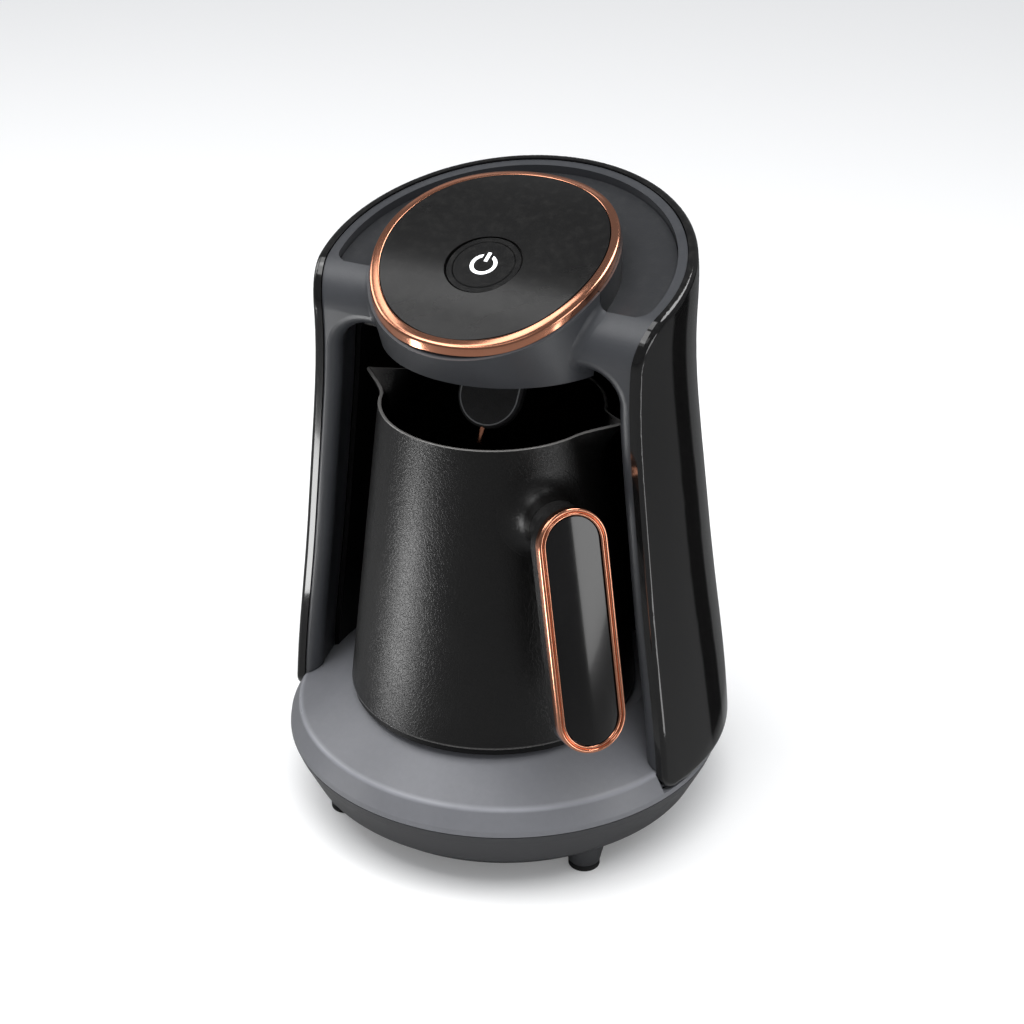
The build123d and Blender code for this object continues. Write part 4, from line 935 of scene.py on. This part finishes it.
def head_rise(axis, inner):
    """A curve for the falling face of the head, through the inner upper edge of the part's own ring."""
    row = 0.0005                                # points this close in depth share one height
    tops = {}
    for v in NODES["panel_ring"].data.vertices:
        if abs(hypot(v.co.x, v.co.y - axis) - inner) < 0.0001:
            key = round((v.co.y - axis) / row)
            tops[key] = max(tops.get(key, 0), v.co.z)
    depth = np.array(sorted(tops)) * row
    return np.polyfit(depth / inner, [tops[k] for k in sorted(tops)], 6)


def make_panel_ring(s):
    """Copper ring of the panel, along the falling face of the head."""
    turns = 288
    axis = node_mid("panel_ring").y
    inner = s.radius + min(out for out, up in PANEL_SECTION) * MM
    rise = head_rise(axis, inner)
    roof = CAD_BOX[1][2] - 0.00001

    def on_head(step, out, up):
        a = 2 * pi * step / turns
        x, y = (s.radius + out) * cos(a), (s.radius + out) * sin(a)
        z = float(np.polyval(rise, y / inner)) + up
        return x, axis + y, min(z, roof)

    ring = shape_ring("copper_ring", turns, PANEL_SECTION, on_head)
    finish_piece(ring, "machine", "copper_ring", "panel_ring", "panel_ring", angle=38.0)


def make_grip_ring(s, pot):
    """Double-ridged ring that runs round an oblong on the leaning face of the handle."""
    out_way, side = handle_ways(pot)
    up_way = Vector((0, 0, 1))
    face = out_way * cos(s.grip_tilt) + up_way * sin(s.grip_tilt)
    along = up_way * cos(s.grip_tilt) - out_way * sin(s.grip_tilt)
    mid = POT_AXIS + up_way * s.grip_height + out_way * s.grip_reach
    half, r = (s.grip_length - s.grip_width) / 2, s.grip_width / 2
    arc, run = 56, 10                           # steps of a round end and of a straight side

    def on_grip(step, out, up):
        end, k = divmod(step, arc + run)
        flip = -1 if end else 1
        a = pi * min(k, arc) / arc
        down = 2 * half * max(k - arc, 0) / run
        x, y = (r + out) * cos(a), (r + out) * sin(a) + half - down
        return mid + side * (x * flip) + along * (y * flip) + face * up

    ring = shape_ring("grip_ring", 2 * (arc + run), GRIP_SECTION, on_grip)
    finish_piece(ring, "pot", "copper_trim", "handle_ring", "handle_ring", angle=38.0)


class MakeRings(bpy.types.Operator):
    """Draws the copper ring of the panel and the double-ridged ring of the handle."""
    bl_idname = "coffee.make_rings"
    bl_label = "Make the rings"

    def execute(self, context):
        make_panel_ring(context.scene.coffee_rings)
        make_grip_ring(context.scene.coffee_rings, context.scene.coffee_pot)
        return {"FINISHED"}


# ---------------------------------------------------------------- sensing arm
def make_bead(s):
    """Thin bead round the face of the arm: round at its lower end, straight at the sides and the top. Its
    pale grey is a painted highlight along the arm's edge.
    """
    face = Vector((0, -sin(ARM_LEAN), cos(ARM_LEAN)))
    down = Vector((0, -cos(ARM_LEAN), -sin(ARM_LEAN)))
    tip = Vector((0, -0.02186, 0.16448))        # lowest point of the face
    inset, rise = 0.0006, 0.0085                # in from the arm's side, and length of the straight sides
    r = s.tongue - inset
    arc, run, top = 60, 8, 10                   # steps of the round end, a side and the top
    loop = arc + 2 * run + top
    n = 10
    section = [(s.bead / MM * cos(2 * pi * k / n), s.bead / MM * sin(2 * pi * k / n)) for k in range(n)]

    def on_arm(step, out, up):
        if step <= arc:
            a = pi * step / arc
            x, v = -(r + out) * cos(a), (r + out) * sin(a)
        elif step <= arc + run:
            x, v = r + out, -rise * (step - arc) / run
        elif step < arc + run + top:
            x, v = r * (1 - 2 * (step - arc - run) / top), -rise - out
        else:
            x, v = -(r + out), -rise * (loop - step) / run
        return tip + Vector((x, 0, 0)) + down * (v - s.tongue) + face * up

    bead = shape_ring("arm_bead", loop, section, on_arm)
    face_outwards(bead)
    finish_piece(bead, "arm", "bead_painted_highlight", "sensor_arm", angle=60.0)


def make_probe(s):
    """Copper probe with rounded ends."""
    pin = fresh("primitive_cylinder_add", "probe", vertices=40, radius=s.pin, depth=s.pin_length,
                location=node_mid("probe_pin"), rotation=(ARM_LEAN - pi / 2, 0, 0))
    apply_modifier(pin, "BEVEL", width=0.0004, segments=3, limit_method="ANGLE", angle_limit=radians(50))
    finish_piece(pin, "arm", "copper_trim", "probe_pin", "probe_pin", angle=40.0)


class MakeArm(bpy.types.Operator):
    """Draws the bead round the sensing arm and the probe at its end."""
    bl_idname = "coffee.make_arm"
    bl_label = "Make the arm's trim"

    def execute(self, context):
        make_bead(context.scene.coffee_arm)
        make_probe(context.scene.coffee_arm)
        return {"FINISHED"}


# ---------------------------------------------------------------- spring
class MakeSpring(bpy.types.Operator):
    """Copies the button's coil with its doubled points merged, and dresses it in place of the part's own
    coil.
    """
    bl_idname = "coffee.make_spring"
    bl_label = "Make the spring"

    def execute(self, context):
        seat = 0.0004                           # length of coil that each end's seat holds
        select_only(NODES["button_spring"])
        bpy.ops.object.duplicate()
        coil = context.object
        coil.name = coil.data.name = "coil_spring"
        bpy.ops.object.parent_clear(type="CLEAR_KEEP_TRANSFORM")
        bpy.ops.object.mode_set(mode="EDIT")
        bpy.ops.mesh.select_all(action="SELECT")
        bpy.ops.mesh.remove_doubles(threshold=0.000001)
        object_mode()
        mid, axis = node_mid("button_spring"), Vector((0, -sin(BUTTON_TILT), cos(BUTTON_TILT)))
        half = max(abs((v.co - mid).dot(axis)) for v in coil.data.vertices) - seat
        between = ("machine", "button", mid - axis * half, mid + axis * half)
        finish_piece(coil, between, "spring_wire", "button_spring", "button_spring", angle=45.0)
        return {"FINISHED"}


# ---------------------------------------------------------------- add-on
class CoffeePanel(bpy.types.Panel):
    """Lists the steps and the settings."""
    bl_idname = "VIEW3D_PT_coffee"
    bl_label = "Coffee Maker"
    bl_space_type = "VIEW_3D"
    bl_region_type = "UI"
    bl_category = "Coffee Maker"

    def draw(self, context):
        for step in STEPS:
            self.layout.operator(step.bl_idname)
        for name in GROUPS:
            group, box = getattr(context.scene, name), self.layout.box()
            for key in group.bl_rna.properties.keys():
                if key not in ("rna_type", "name"):
                    box.prop(group, key)


STEPS = [BuildStage, DressCadNodes, MakePot, MakeRings, MakeArm, MakeSpring]
GROUPS = {"coffee_finish": FinishSettings, "coffee_stage": StageSettings, "coffee_pot": PotSettings,
          "coffee_rings": RingSettings, "coffee_arm": ArmSettings}
CLASSES = [*GROUPS.values(), *STEPS, CoffeePanel]


def register():
    for c in CLASSES:
        bpy.utils.register_class(c)
    for key, group in GROUPS.items():
        setattr(bpy.types.Scene, key, PointerProperty(type=group))


def unregister():
    for key in GROUPS:
        delattr(bpy.types.Scene, key)
    for c in reversed(CLASSES):
        bpy.utils.unregister_class(c)


def main():
    register()
    bpy.ops.object.select_all(action="DESELECT")
    for step in STEPS:
        area, name = step.bl_idname.split(".")
        getattr(getattr(bpy.ops, area), name)()


if __name__ == "__main__":
    main()
